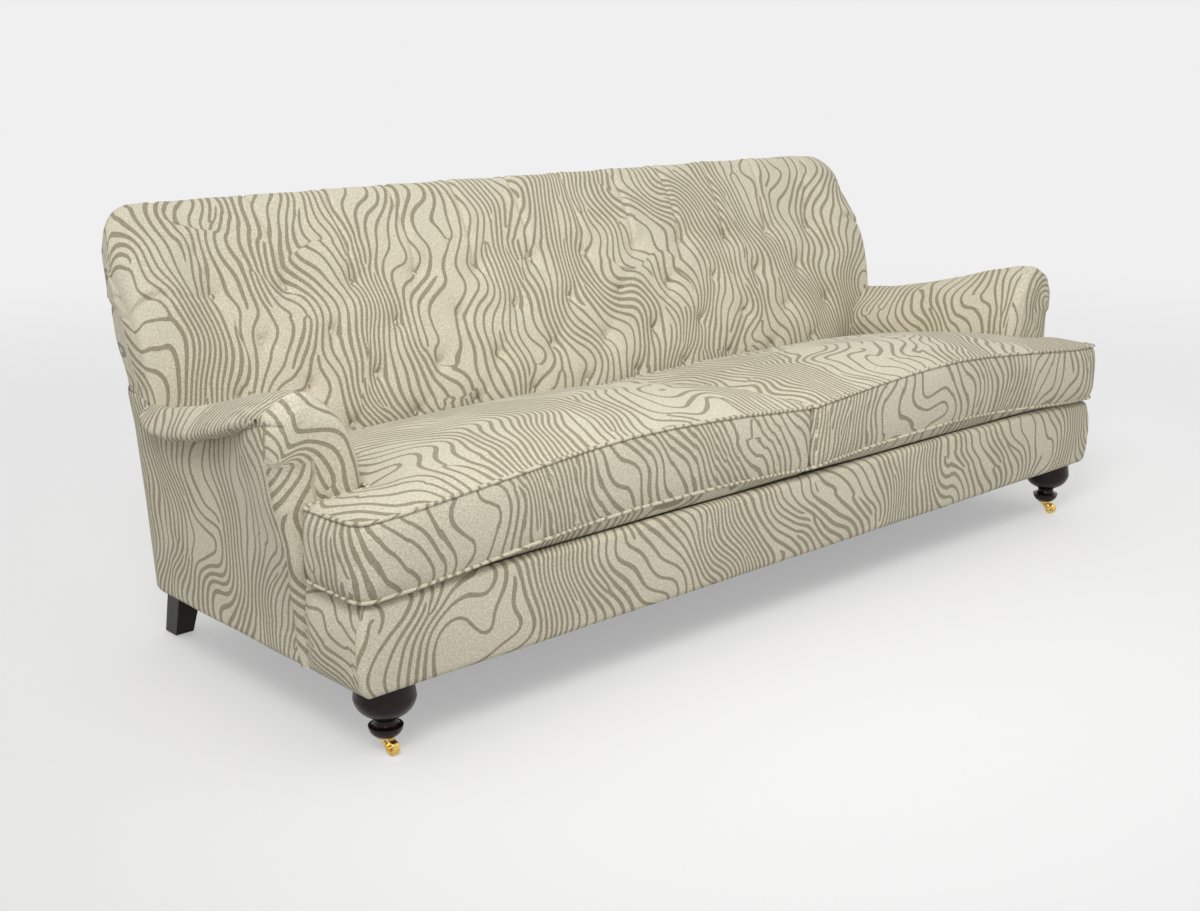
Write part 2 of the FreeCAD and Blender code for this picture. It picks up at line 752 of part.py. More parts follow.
def cushion_body(wall):
    middle = cushion_bottom + cushion_height / 2
    scale = 1 - 2 * wall / cushion_height

    def level(share):
        return middle + (cushion_bottom + cushion_height * share - middle) * scale

    wires = []
    for share, inset_share in zip(cushion_level_shares, cushion_inset_shares):
        wires.append(cushion_wire(cushion_inset * inset_share + wall, level(share)))
    body = Part.makeLoft(wires, True, True)
    crest = [crest_wire(inset + wall, level(share))
             for share, inset in zip(crest_level_shares, crest_insets)]
    return body.fuse(Part.makeLoft(crest, True, True)).removeSplitter()


def piping_ring(level_share):
    z = cushion_bottom + cushion_height * level_share
    swell = piping_radius + piping_gap
    path = cushion_wire(-swell, z, swell)
    start = path.Edges[1].Vertexes[0].Point
    along = path.Edges[1].tangentAt(path.Edges[1].FirstParameter)
    section = Part.Wire(Part.makeCircle(piping_radius, start, along))
    ordered = Part.Wire(path.Edges[1:] + path.Edges[:1])
    return ordered.makePipeShell([section], True, True)


cushion_cover = cushion_body(0).cut(cushion_body(cover_wall))
cushion_fill = cushion_body(cover_wall + fill_gap)
ring_low = piping_ring(cushion_level_shares[2])
ring_high = piping_ring(cushion_level_shares[6])
zip_z = cushion_bottom + cushion_height * cushion_level_shares[4]
zip_y = cushion_rear_y - cushion_inset * cushion_inset_shares[4] + zip_seat_gap
zip_x = (cushion_in + cushion_rear_x - zip_length) / 2
cushion_zip = box(zip_x, zip_x + zip_length, zip_y, zip_y + zip_thickness,
                  zip_z - zip_height / 2, zip_z + zip_height / 2)
keep_pair("seat_cushion_cover", cushion_cover)
keep_pair("seat_cushion_fill", cushion_fill)
keep("seat_cushion_piping_right", [ring_low, ring_high])
keep("seat_cushion_piping_left", [mirrored(ring_low), mirrored(ring_high)])
keep_pair("seat_cushion_zip", cushion_zip)


# Turned front feet with castors
def foot_point(i):
    return V(foot_x + foot_profile_radii[i], foot_y, foot_bottom + foot_profile_heights[i])


foot_curve = [foot_point(i) for i in range(len(foot_profile_radii))]
foot_edges = chain(foot_curve[0:3]) + chain(foot_curve[2:5]) + chain(foot_curve[4:7])
foot_edges += lines([foot_curve[6], foot_curve[7]])
foot_top = V(foot_x, foot_y, foot_curve[7].z)
foot_edges += lines([foot_curve[7], foot_top, foot_axis + V(0, 0, foot_bottom), foot_curve[0]])
foot = Part.Face(Part.Wire(foot_edges)).revolve(foot_axis, V(0, 0, 1), 360)
plate_low = foot_bottom - plate_thickness
stem_hole = cylinder(stem_radius + running_gap, foot_axis + V(0, 0, plate_low - overrun),
                     V(0, 0, stem_length + overrun + plate_thickness + running_gap))
screws = []
for i in range(screw_count):
    angle = 2 * math.pi * (i + 0.5) / screw_count
    place = foot_axis + V(math.cos(angle), math.sin(angle), 0) * screw_circle
    screws.append(cylinder(screw_radius, place + V(0, 0, plate_low), V(0, 0, screw_length)))
screw_set = Part.makeCompound(screws)
foot = foot.cut(Part.makeCompound([stem_hole, foot_bolt_hole, screw_set]))
plate = cylinder(plate_radius, foot_axis + V(0, 0, plate_low), V(0, 0, plate_thickness))
plate = plate.cut(Part.makeCompound([stem_hole, screw_set]))
keep_pair("front_foot", foot)
keep("castor_plates", both(plate))
keep("castor_screws", both(screw_set))

swivel_top = plate_low - swivel_gap
swivel_low = swivel_top - swivel_thickness
axle = foot_axis + V(0, -wheel_trail, wheel_radius)
cheek_in = wheel_width / 2 + cheek_gap
cheek_out = cheek_in + cheek_thickness
swivel = cylinder(swivel_radius, foot_axis + V(0, 0, swivel_low), V(0, 0, swivel_thickness))
stem = cylinder(stem_radius, foot_axis + V(0, 0, swivel_low),
                V(0, 0, swivel_thickness + swivel_gap + stem_length))
bridge = box(foot_x - cheek_out, foot_x + cheek_out, foot_y - cheek_round, foot_y + cheek_round,
             swivel_low, swivel_top)
cheeks = []
for side in (-1, 1):
    x0 = foot_x + min(side * cheek_in, side * cheek_out)
    arm = side_prism(x0, x0 + cheek_thickness,
                     [(foot_y + cheek_round, swivel_top), (foot_y - cheek_round, swivel_top),
                      (axle.y - cheek_round, axle.z), (axle.y, axle.z - cheek_round),
                      (foot_y + cheek_round, swivel_low)])
    boss = cylinder(cheek_round, V(x0, axle.y, axle.z), V(cheek_thickness, 0, 0))
    cheeks.append(arm.fuse(boss))
fork = swivel.fuse([stem, bridge] + cheeks).removeSplitter()
pin_length = 2 * cheek_out
pin = cylinder(axle_radius, V(foot_x - cheek_out, axle.y, axle.z), V(pin_length, 0, 0))
heads = [cylinder(axle_radius * 1.6, V(foot_x + cheek_out, axle.y, axle.z), V(axle_head, 0, 0)),
         cylinder(axle_radius * 1.6, V(foot_x - cheek_out - axle_head, axle.y, axle.z),
                  V(axle_head, 0, 0))]
axle_pin = pin.fuse(heads).removeSplitter()
fork = fork.cut(pin)
wheel = cylinder(wheel_radius, V(foot_x - wheel_width / 2, axle.y, axle.z), V(wheel_width, 0, 0))
rims = [e for e in wheel.Edges if len(e.Vertexes) == 1]
wheel = wheel.makeFillet(wheel_edge, rims)
wheel_bore = cylinder(axle_radius + running_gap, V(foot_x - wheel_width, axle.y, axle.z),
                      V(2 * wheel_width, 0, 0))
wheel = wheel.cut(wheel_bore)
keep_pair("castor_fork", fork)
keep_pair("castor_axle", axle_pin)
keep_pair("castor_wheel", wheel)


# Square tapered rear legs that carry on the rake of the back
def leg_wire(x, width, y, depth, z):
    points = [V(x, y, z), V(x + width, y, z), V(x + width, y + depth, z), V(x, y + depth, z)]
    return Part.makePolygon(points + [points[0]])


leg_top_y = post_front_y(base_bottom)
leg_bottom_y = leg_top_y + leg_kick
leg_x = leg_top_x + leg_top_width - leg_side_gap - leg_bottom_width
leg = Part.makeLoft([leg_wire(leg_x, leg_bottom_width, leg_bottom_y, leg_bottom_depth, glide_height),
                     leg_wire(leg_top_x, leg_top_width, leg_top_y, leg_top_depth, rail_bottom)],
                    True, True)
leg = leg.cut(leg_bolt_hole)
glide_centre = V(leg_x + leg_bottom_width / 2, leg_bottom_y + leg_bottom_depth / 2, 0)
glide = cylinder(glide_radius, glide_centre, V(0, 0, glide_height))
keep_pair("rear_leg", leg)
keep("rear_glides", both(glide))

os.makedirs("parts", exist_ok=True)
for name, solids in made.items():
    shape = Part.makeCompound(solids) if len(solids) > 1 else solids[0]
    shape = shape.copy()
    shape.translate(depth_shift)
    if not shape.isValid():
        print("not valid:", name)
    shape.exportStep("parts/" + name + ".step")
    box_of = shape.BoundBox
    print("%-28s %3d solids %12.0f mm3  x %7.1f %7.1f  y %7.1f %7.1f  z %6.1f %6.1f" % (
        name, len(solids), shape.Volume, box_of.XMin, box_of.XMax, box_of.YMin, box_of.YMax,
        box_of.ZMin, box_of.ZMax))
print("nodes", len(made), "shift", depth_shift.y)
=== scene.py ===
import math

import bpy
import numpy as np
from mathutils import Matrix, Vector
from mathutils.kdtree import KDTree


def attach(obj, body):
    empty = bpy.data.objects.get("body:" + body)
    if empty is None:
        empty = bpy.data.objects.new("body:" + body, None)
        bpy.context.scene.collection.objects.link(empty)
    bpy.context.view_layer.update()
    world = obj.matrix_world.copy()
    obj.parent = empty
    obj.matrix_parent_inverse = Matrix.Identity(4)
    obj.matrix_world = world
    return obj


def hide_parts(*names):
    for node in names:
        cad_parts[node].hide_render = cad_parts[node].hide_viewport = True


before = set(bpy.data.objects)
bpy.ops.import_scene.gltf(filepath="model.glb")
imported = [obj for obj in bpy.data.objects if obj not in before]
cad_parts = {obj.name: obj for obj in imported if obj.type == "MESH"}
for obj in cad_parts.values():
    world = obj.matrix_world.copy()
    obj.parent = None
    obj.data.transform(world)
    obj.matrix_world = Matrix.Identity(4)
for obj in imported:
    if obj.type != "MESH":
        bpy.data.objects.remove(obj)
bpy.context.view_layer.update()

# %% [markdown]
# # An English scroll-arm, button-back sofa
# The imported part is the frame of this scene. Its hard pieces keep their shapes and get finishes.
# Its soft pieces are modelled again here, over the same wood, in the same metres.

front = -0.45228
rng = np.random.default_rng(11)
print("frame nodes", len(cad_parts))


def lay_cloth(mesh, places, domain="POINT"):
    """Keeps where each point lies on its flat cloth, in metres, for the print and the weave."""
    flat = np.zeros((len(places), 3))
    flat[:, :2] = places
    layer = mesh.attributes.new("cloth_place", "FLOAT_VECTOR", domain)
    layer.data.foreach_set("vector", flat.ravel())


def mesh_piece(name, points, faces, material, body, cloth=None):
    mesh = bpy.data.meshes.new(name)
    mesh.from_pydata([tuple(p) for p in points], [], faces)
    mesh.validate()
    mesh.shade_smooth()
    if cloth is not None:
        lay_cloth(mesh, cloth)
    mesh.materials.append(material)
    piece = bpy.data.objects.new(name, mesh)
    bpy.context.scene.collection.objects.link(piece)
    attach(piece, body)
    return piece


def grid_faces(rows, columns, start=0, round_columns=False, round_rows=False):
    faces = []
    for i in range(rows if round_rows else rows - 1):
        for j in range(columns if round_columns else columns - 1):
            a = i * columns + j
            b = i * columns + (j + 1) % columns
            c = ((i + 1) % rows) * columns + (j + 1) % columns
            d = ((i + 1) % rows) * columns + j
            faces.append((start + a, start + b, start + c, start + d))
    return faces


def travelled(points):
    """How far along a line each of its points lies."""
    steps = np.linalg.norm(np.diff(points, axis=0), axis=1)
    return np.concatenate([[0], np.cumsum(steps)])


def unrolled(points):
    """The lengths along both ways of a grid, as if its cloth lay flat."""
    along = np.linalg.norm(np.diff(points, axis=0), axis=2).mean(axis=1)
    across = np.linalg.norm(np.diff(points, axis=1), axis=2).mean(axis=0)
    lengths = [np.concatenate([[0], np.cumsum(step)]) for step in (along, across)]
    return np.stack(np.meshgrid(*lengths, indexing="ij"), axis=2)


def skin(name, grid, material, body, flip=False, cloth=None, **more):
    points = np.array(grid, float)
    rows, columns = points.shape[:2]
    places = (unrolled(points) if cloth is None else np.array(cloth, float)).reshape(-1, 2)
    if name.endswith("_left"):
        places = places + (3.7, 1.9)
    flat = points.reshape(-1, 3).copy()
    flat[:, 1] += front
    faces = grid_faces(rows, columns, **more)
    if flip:
        faces = [f[::-1] for f in faces]
    return mesh_piece(name, flat, faces, material, body, places)


def smooth_line(points, count, dense=24):
    """A line of `count` points, evenly spaced, on the smooth curve through `points`."""
    p = np.array(points, float)
    ends = np.vstack([2 * p[0] - p[1], p, 2 * p[-1] - p[-2]])
    out = []
    for i in range(1, len(ends) - 2):
        a, b, c, d = ends[i - 1:i + 3]
        ta = max(np.linalg.norm(b - a), 1e-9) ** 0.5
        tb = max(np.linalg.norm(c - b), 1e-9) ** 0.5
        tc = max(np.linalg.norm(d - c), 1e-9) ** 0.5
        m1 = (b - a) / ta - (c - a) / (ta + tb) + (c - b) / tb
        m2 = (c - b) / tb - (d - b) / (tb + tc) + (d - c) / tc
        for k in range(dense):
            t = k / dense
            h = (2 * t ** 3 - 3 * t ** 2 + 1) * b + (t ** 3 - 2 * t ** 2 + t) * m1 * tb
            out.append(h + (3 * t ** 2 - 2 * t ** 3) * c + (t ** 3 - t ** 2) * m2 * tb)
    out.append(ends[-2])
    out = np.array(out)
    length = travelled(out)
    at = np.linspace(0, length[-1], count)
    return np.stack([np.interp(at, length, out[:, k]) for k in range(p.shape[1])], axis=1)


def ease(x, low, high):
    t = np.clip((np.asarray(x, float) - low) / (high - low), 0, 1)
    return t * t * (3 - 2 * t)


def mirror(grid):
    other = np.array(grid, float)
    other[..., 0] *= -1
    return other


def tube(name, path, radius, material, body, beads=0.0, bead_step=0.006, sides=10, closed=False):
    p = np.array(path, float)
    n = len(p)
    ahead = np.roll(p, -1, axis=0) if closed else np.vstack([p[1:], p[-1:]])
    behind = np.roll(p, 1, axis=0) if closed else np.vstack([p[:1], p[:-1]])
    along = ahead - behind
    along /= np.linalg.norm(along, axis=1)[:, None]
    up = np.tile([0.0, 0.0, 1.0], (n, 1))
    side = np.cross(along, up)
    weak = np.linalg.norm(side, axis=1) < 0.2
    side[weak] = np.cross(along[weak], [0.0, 1.0, 0.0])
    side /= np.linalg.norm(side, axis=1)[:, None]
    up = np.cross(side, along)
    length = travelled(p)
    rings = []
    for k in range(sides):
        turn = 2 * math.pi * k / sides
        wave = 1 + beads * np.sin(2 * math.pi * length / bead_step + turn)
        reach = (radius * wave)[:, None]
        rings.append(p + reach * (math.cos(turn) * side + math.sin(turn) * up))
    grid = np.stack(rings, axis=1)
    around = 0.006 * np.sin(np.arange(sides) * 2 * math.pi / sides)
    cloth = np.stack(np.meshgrid(length, around, indexing="ij"), axis=2)
    return skin(name, grid, material, body, cloth=cloth, round_columns=True, round_rows=closed)


# %% [markdown]
# ## Camera
# The lens and place come from the photograph's own vanishing lines: a 46 mm lens, 15 degrees down.

# %% Camera
lens = bpy.data.cameras.new("camera")
lens.lens = 46.08
lens.sensor_width = 36
camera = bpy.data.objects.new("camera", lens)
bpy.context.scene.collection.objects.link(camera)
camera.location = (-2.372, -2.3843, 1.150)
camera.rotation_euler = Vector((0.6566, 0.7091, -0.2571)).to_track_quat("-Z", "Y").to_euler()
bpy.context.scene.camera = camera
print("camera at", tuple(round(v, 3) for v in camera.location))

# %% [markdown]
# ## Finishes
# Small helpers put nodes into a tree. The wavy print, the linen weave and the wood grain are
# groups that give a mask, a colour or a height. Every finish reads the object's own metres.

# %% Node helpers
def feed(tree, socket, value):
    """Links a socket to another one's output, or sets its own value."""
    if isinstance(value, bpy.types.NodeSocket):
        tree.links.new(value, socket)
    else:
        socket.default_value = value


def put(tree, kind, sockets=(), **settings):
    made = tree.nodes.new(kind)
    for key, value in settings.items():
        setattr(made, key, value)
    for key, value in dict(sockets).items():
        feed(tree, made.inputs[key], value)
    return made


def own_metres(tree):
    return put(tree, "ShaderNodeTexCoord").outputs["Object"]


def cloth_metres(tree):
    return put(tree, "ShaderNodeAttribute", attribute_name="cloth_place").outputs["Vector"]


def sums(tree, operation, a, b=0.0, c=0.0):
    return put(tree, "ShaderNodeMath", {0: a, 1: b, 2: c}, operation=operation).outputs[0]


def vectors(tree, operation, a, b=(0, 0, 0)):
    made = put(tree, "ShaderNodeVectorMath", {0: a, 1: b}, operation=operation)
    return made.outputs["Value"] if operation == "DOT_PRODUCT" else made.outputs[0]


def scaled(tree, vector, amount):
    made = put(tree, "ShaderNodeVectorMath", {0: vector, "Scale": amount}, operation="SCALE")
    return made.outputs[0]


def noise(tree, place, scale, detail=1.0, rough=0.5, kind="3D"):
    return put(tree, "ShaderNodeTexNoise",
               {"Vector": place, "Scale": scale, "Detail": detail, "Roughness": rough},
               noise_dimensions=kind)


def blend_colours(tree, amount, a, b):
    return put(tree, "ShaderNodeMix", {0: amount, 6: a, 7: b}, data_type="RGBA").outputs[2]


def remap(tree, value, low, high, to_low=0.0, to_high=1.0, smooth=True):
    made = put(tree, "ShaderNodeMapRange",
               {"Value": value, "From Min": low, "From Max": high,
                "To Min": to_low, "To Max": to_high},
               interpolation_type="SMOOTHSTEP" if smooth else "LINEAR")
    return made.outputs[0]


def new_group(name, inputs, outputs):
    tree = bpy.data.node_groups.new(name, "ShaderNodeTree")
    for label, kind, value in inputs:
        socket = tree.interface.new_socket(label, in_out="INPUT", socket_type=kind)
        socket.default_value = value
    for label, kind in outputs:
        tree.interface.new_socket(label, in_out="OUTPUT", socket_type=kind)
    start = tree.nodes.new("NodeGroupInput")
    end = tree.nodes.new("NodeGroupOutput")
    return tree, start, end


def use(tree, group, **values):
    made = tree.nodes.new("ShaderNodeGroup")
    made.node_tree = group
    for key, value in values.items():
        feed(tree, made.inputs[key.replace("_", " ")], value)
    return made


def surface(tree, shader, colour, height, strength, distance):
    """Gives a finish its colour and its fine relief."""
    bump = put(tree, "ShaderNodeBump",
               {"Height": height, "Strength": strength, "Distance": distance})
    tree.links.new(colour, shader.inputs["Base Color"])
    tree.links.new(bump.outputs[0], shader.inputs["Normal"])


def new_finish(name, **shader_values):
    finish = bpy.data.materials.new(name)
    finish.use_nodes = True
    tree = finish.node_tree
    shader = tree.nodes["Principled BSDF"]
    for key, value in shader_values.items():
        shader.inputs[key.replace("_", " ")].default_value = value
    return finish, tree, shader


# %% [markdown]
# ### The wavy print
# The lines are level sets of a bent place on the flat cloth. A slow noise swirls them, and three
# angle fields break them into forks. How steeply the levels climb gives each line one width.

# %% Wavy print
FLOAT, VECTOR, COLOUR = "NodeSocketFloat", "NodeSocketVector", "NodeSocketColor"
level_group, start, end = new_group(
    "print_levels",
    [("Place", VECTOR, (0, 0, 0)), ("Direction", VECTOR, (1, 0, 0)),
     ("Spacing", FLOAT, 0.022), ("Swirl", FLOAT, 0.30)],
    [("Level", FLOAT)])
tree = level_group
place = start.outputs["Place"]
middle = (0.5, 0.5, 0.5)
slow = vectors(tree, "SUBTRACT", noise(tree, place, 2.9, 0.6, kind="2D").outputs["Color"], middle)
quick = vectors(tree, "SUBTRACT", noise(tree, place, 9.0, 0.0, kind="2D").outputs["Color"], middle)
bent = vectors(tree, "ADD", place, scaled(tree, slow, start.outputs["Swirl"]))
bent = vectors(tree, "ADD", bent, scaled(tree, quick, 0.060))
level = sums(tree, "DIVIDE", vectors(tree, "DOT_PRODUCT", bent, start.outputs["Direction"]),
             start.outputs["Spacing"])
for offset, scale, turns in ((3.7, 3.2, 1.0), (11.3, 4.4, 1.0), (23.9, 5.0, -1.0)):
    moved = vectors(tree, "ADD", bent, (offset, -offset, 0))
    one = sums(tree, "SUBTRACT", noise(tree, moved, scale, 0.0, kind="2D").outputs["Fac"], 0.5)
    moved = vectors(tree, "ADD", bent, (-offset, offset * 0.7, 0))
    two = sums(tree, "SUBTRACT", noise(tree, moved, scale, 0.0, kind="2D").outputs["Fac"], 0.5)
    angle = sums(tree, "ARCTAN2", one, two)
    level = sums(tree, "MULTIPLY_ADD", angle, turns / (2 * math.pi), level)
tree.links.new(level, end.inputs["Level"])

print_group, start, end = new_group(
    "wavy_print",
    [("Shift", VECTOR, (0, 0, 0)), ("Direction", VECTOR, (1, 0, 0)),
     ("Spacing", FLOAT, 0.022), ("Swirl", FLOAT, 0.30)],
    [("Line", FLOAT)])
tree = print_group
place = cloth_metres(tree)
place = vectors(tree, "ADD", place, start.outputs["Shift"])
step, levels = 0.0015, []
for offset in ((0, 0, 0), (step, 0, 0), (0, step, 0)):
    made = use(tree, level_group, Place=vectors(tree, "ADD", place, offset),
               Direction=start.outputs["Direction"], Spacing=start.outputs["Spacing"],
               Swirl=start.outputs["Swirl"])
    levels.append(made.outputs["Level"])
climbs = []
for other in levels[1:]:
    climb = sums(tree, "SUBTRACT", other, levels[0])
    climb = sums(tree, "SUBTRACT", climb, sums(tree, "ROUND", climb))
    climbs.append(sums(tree, "MULTIPLY", climb, climb))
steep = sums(tree, "DIVIDE", sums(tree, "SQRT", sums(tree, "ADD", *climbs)), step)
steep = sums(tree, "MAXIMUM", steep, 14.0)
wave = sums(tree, "ABSOLUTE", sums(tree, "SUBTRACT", sums(tree, "FRACT", levels[0]), 0.5))
gap = sums(tree, "DIVIDE", wave, steep)
swell = noise(tree, place, 7.0, 1.0, kind="2D").outputs["Fac"]
half_width = remap(tree, swell, 0.34, 0.74, 0.0029, 0.0050)
half_width = sums(tree, "MINIMUM", half_width, sums(tree, "DIVIDE", 0.26, steep))
ragged = noise(tree, place, 420.0, 2.0, kind="2D").outputs["Fac"]
half_width = sums(tree, "ADD", half_width, sums(tree, "MULTIPLY_ADD", ragged, 0.0014, -0.0007))
line = remap(tree, sums(tree, "SUBTRACT", gap, half_width), 0.00035, -0.00035)
tree.links.new(line, end.inputs["Line"])
print("print groups", level_group.name, print_group.name)

# %% [markdown]
# ### The linen
# A plain weave at 1.1 mm, with slubs along both yarns and a heathered mix of pale and dark
# fibres. The printed pieces lay it on their flat cloth, the hidden cloths on their own metres.

# %% Linen weave
linen_group, start, end = new_group(
    "linen_weave", [("Place", VECTOR, (0, 0, 0)), ("Yarn", FLOAT, 0.0011)],
    [("Height", FLOAT), ("Fleck", FLOAT)])
tree = linen_group
place = start.outputs["Place"]
axes = put(tree, "ShaderNodeSeparateXYZ", {0: place}).outputs
turn = sums(tree, "DIVIDE", 3.14159, start.outputs["Yarn"])
ridges = [sums(tree, "SINE", sums(tree, "MULTIPLY", axes[k], turn)) for k in (0, 1)]
weave = sums(tree, "MULTIPLY", ridges[0], ridges[1])
grain = noise(tree, place, 620.0, 3.0, 0.65, kind="2D").outputs["Fac"]
slubs = []
for stretch in ((1, 9, 1), (9, 1, 1)):
    pulled = vectors(tree, "MULTIPLY", place, stretch)
    slubs.append(noise(tree, pulled, 95.0, 2.0, 0.6, kind="2D").outputs["Fac"])
heather = noise(tree, place, 260.0, 2.0, 0.7, kind="2D").outputs["Fac"]
yarns = sums(tree, "MULTIPLY", sums(tree, "ADD", *slubs), 0.30)
mixed = sums(tree, "MULTIPLY_ADD", grain, 0.35, sums(tree, "MULTIPLY_ADD", heather, 0.45, yarns))
tree.links.new(sums(tree, "MULTIPLY_ADD", grain, 0.9, sums(tree, "MULTIPLY", weave, 0.5)),
               end.inputs["Height"])
tree.links.new(remap(tree, mixed, 0.53, 0.88, smooth=False), end.inputs["Fleck"])


def print_cloth(name, shift, direction=(1.0, 0.12, 0), spacing=0.0205, swirl=0.30):
    finish, tree, shader = new_finish(name, Roughness=0.92, Sheen_Weight=0.12,
                                      Sheen_Roughness=0.5, Specular_IOR_Level=0.25)
    shader.inputs["Sheen Tint"].default_value = (1.0, 0.97, 0.90, 1)
    lines = use(tree, print_group, Shift=shift, Direction=direction, Spacing=spacing, Swirl=swirl)
    linen = use(tree, linen_group, Place=cloth_metres(tree))
    fleck = linen.outputs["Fleck"]
    cream = blend_colours(tree, fleck, (0.475, 0.432, 0.318, 1), (0.820, 0.770, 0.622, 1))
    taupe = blend_colours(tree, fleck, (0.235, 0.206, 0.138, 1), (0.420, 0.375, 0.265, 1))
    colour = blend_colours(tree, lines.outputs["Line"], cream, taupe)
    surface(tree, shader, colour, linen.outputs["Height"], 0.35, 0.0006)
    return finish


cloth_back = print_cloth("cloth_back", (2.7, 0.6, 0), (1.0, 0.10, 0), 0.0210, 0.28)
cloth_arm = print_cloth("cloth_arm", (4.1, 1.7, 0), (1.0, -0.25, 0), 0.0205)
cloth_facing = print_cloth("cloth_facing", (8.3, 5.1, 0), (1.0, 0.20, 0), 0.0215)
cloth_side = print_cloth("cloth_side", (2.2, 9.4, 0), (1.0, 0.05, 0), 0.0190, 0.26)
cloth_border = print_cloth("cloth_border", (7.3, 2.6, 0), (1.0, 0.25, 0), 0.0205)
cloth_seat_left = print_cloth("cloth_seat_left", (1.4, 7.2, 0), (1.0, -0.18, 0), 0.0215, 0.34)
cloth_seat_right = print_cloth("cloth_seat_right", (5.1, 3.9, 0), (1.0, -0.18, 0), 0.0215, 0.34)
print("cloths", 7)

# %% [markdown]
# ### Wood, brass and the hidden stuff

# %% Hard finishes
grain_group, start, end = new_group(
    "wood_grain", [("Along", VECTOR, (1, 1, 12)), ("Scale", FLOAT, 60.0)],
    [("Streak", FLOAT), ("Pore", FLOAT)])
tree = grain_group
place = own_metres(tree)
place = vectors(tree, "MULTIPLY", place, start.outputs["Along"])
streak = noise(tree, place, start.outputs["Scale"], 4.0, 0.6).outputs["Fac"]
pore = noise(tree, place, sums(tree, "MULTIPLY", start.outputs["Scale"], 9.0), 2.0).outputs["Fac"]
tree.links.new(remap(tree, streak, 0.32, 0.70), end.inputs["Streak"])
tree.links.new(remap(tree, pore, 0.40, 0.75), end.inputs["Pore"])


def wood_finish(name, dark, light, along, scale, roughness, coat=0.0):
    finish, tree, shader = new_finish(name, Roughness=roughness, Coat_Weight=coat,
                                      Coat_Roughness=0.12)
    grain = use(tree, grain_group, Along=along, Scale=scale)
    colour = blend_colours(tree, grain.outputs["Streak"], dark, light)
    surface(tree, shader, colour, grain.outputs["Pore"], 0.12, 0.0004)
    return finish


def metal_finish(name, dark, light, roughness):
    finish, tree, shader = new_finish(name, Metallic=1.0, Roughness=roughness)
    place = own_metres(tree)
    tarnish = noise(tree, place, 120.0, 4.0, 0.6).outputs["Fac"]
    colour = blend_colours(tree, remap(tree, tarnish, 0.35, 0.7), light, dark)
    tree.links.new(colour, shader.inputs["Base Color"])
    scratch = noise(tree, vectors(tree, "MULTIPLY", place, (1, 1, 14)), 700.0, 2.0).outputs["Fac"]
    rough = remap(tree, scratch, 0.3, 0.7, roughness * 0.8, roughness * 1.35)
    tree.links.new(rough, shader.inputs["Roughness"])
    return finish


def plain_cloth(name, dark, light, yarn):
    finish, tree, shader = new_finish(name, Roughness=0.95)
    axes = put(tree, "ShaderNodeSeparateXYZ", {0: own_metres(tree)}).outputs
    place = put(tree, "ShaderNodeCombineXYZ", {0: sums(tree, "ADD", axes[0], axes[2]),
                                               1: sums(tree, "SUBTRACT", axes[1], axes[2])})
    linen = use(tree, linen_group, Place=place.outputs[0], Yarn=yarn)
    colour = blend_colours(tree, linen.outputs["Fleck"], dark, light)
    surface(tree, shader, colour, linen.outputs["Height"], 0.6, 0.0008)
    return finish


dark_wood = wood_finish("dark_wood", (0.0075, 0.0030, 0.0024, 1), (0.0160, 0.0068, 0.0052, 1),
                        (1, 1, 0.10), 160.0, 0.32, 0.30)
lacquer = dark_wood.node_tree.nodes["Principled BSDF"].inputs
lacquer["Specular IOR Level"].default_value = 0.10
lacquer["Coat Roughness"].default_value = 0.07
pine = wood_finish("pine", (0.52, 0.36, 0.20, 1), (0.70, 0.53, 0.33, 1), (0.12, 1, 1), 55.0, 0.6)
brass = metal_finish("gold_brass", (0.60, 0.39, 0.11, 1), (0.92, 0.67, 0.24, 1), 0.20)
steel = metal_finish("spring_steel", (0.30, 0.30, 0.31, 1), (0.55, 0.55, 0.56, 1), 0.38)
webbing = plain_cloth("webbing", (0.045, 0.040, 0.036, 1), (0.16, 0.14, 0.12, 1), 0.0022)
dust_cloth = plain_cloth("dust_cloth", (0.012, 0.012, 0.013, 1), (0.035, 0.035, 0.037, 1), 0.0009)
foam = plain_cloth("foam", (0.62, 0.57, 0.42, 1), (0.78, 0.74, 0.60, 1), 0.0016)
deck_cloth = plain_cloth("deck_cloth", (0.50, 0.47, 0.38, 1), (0.70, 0.67, 0.56, 1), 0.0012)
nickel = metal_finish("nickel", (0.42, 0.41, 0.39, 1), (0.66, 0.65, 0.62, 1), 0.3)
print("finishes", len(bpy.data.materials))

# %% [markdown]
# ### Finishes on the carried-over pieces
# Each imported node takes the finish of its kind.

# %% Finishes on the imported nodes
finish_of = {}
for stem in ("front_rail", "side_rail", "rear_rail", "back_top_rail", "back_tuck_rail",
             "back_uprights", "seat_stretchers", "corner_blocks", "back_post", "arm_post",
             "arm_top_rail", "arm_tuck_rails", "facing_board"):
    finish_of[stem] = pine
for stem in ("front_foot", "rear_leg"):
    finish_of[stem] = dark_wood
for stem in ("castor_plates", "castor_fork", "castor_axle", "castor_wheel", "castor_screws"):
    finish_of[stem] = brass
for stem in ("seat_springs", "spring_clips", "foot_bolts"):
    finish_of[stem] = steel
for stem in ("spring_ties", "back_webbing"):
    finish_of[stem] = webbing
finish_of["rear_glides"] = nickel
finish_of["seat_cushion_zip"] = nickel
finish_of["dust_cover"] = dust_cloth
finish_of["seat_cushion_fill"] = foam
for name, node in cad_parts.items():
    stem = name.removesuffix("_left").removesuffix("_right")
    wanted = finish_of.get(stem, deck_cloth)
    for slot in node.material_slots:
        slot.material = wanted
print("finished nodes", len(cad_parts))

# %% [markdown]
# ## The back
# One skin runs up the front, over the top and down behind. Its profile differs between the
# buttoned field and the plain ends. The ends round over into a side face.

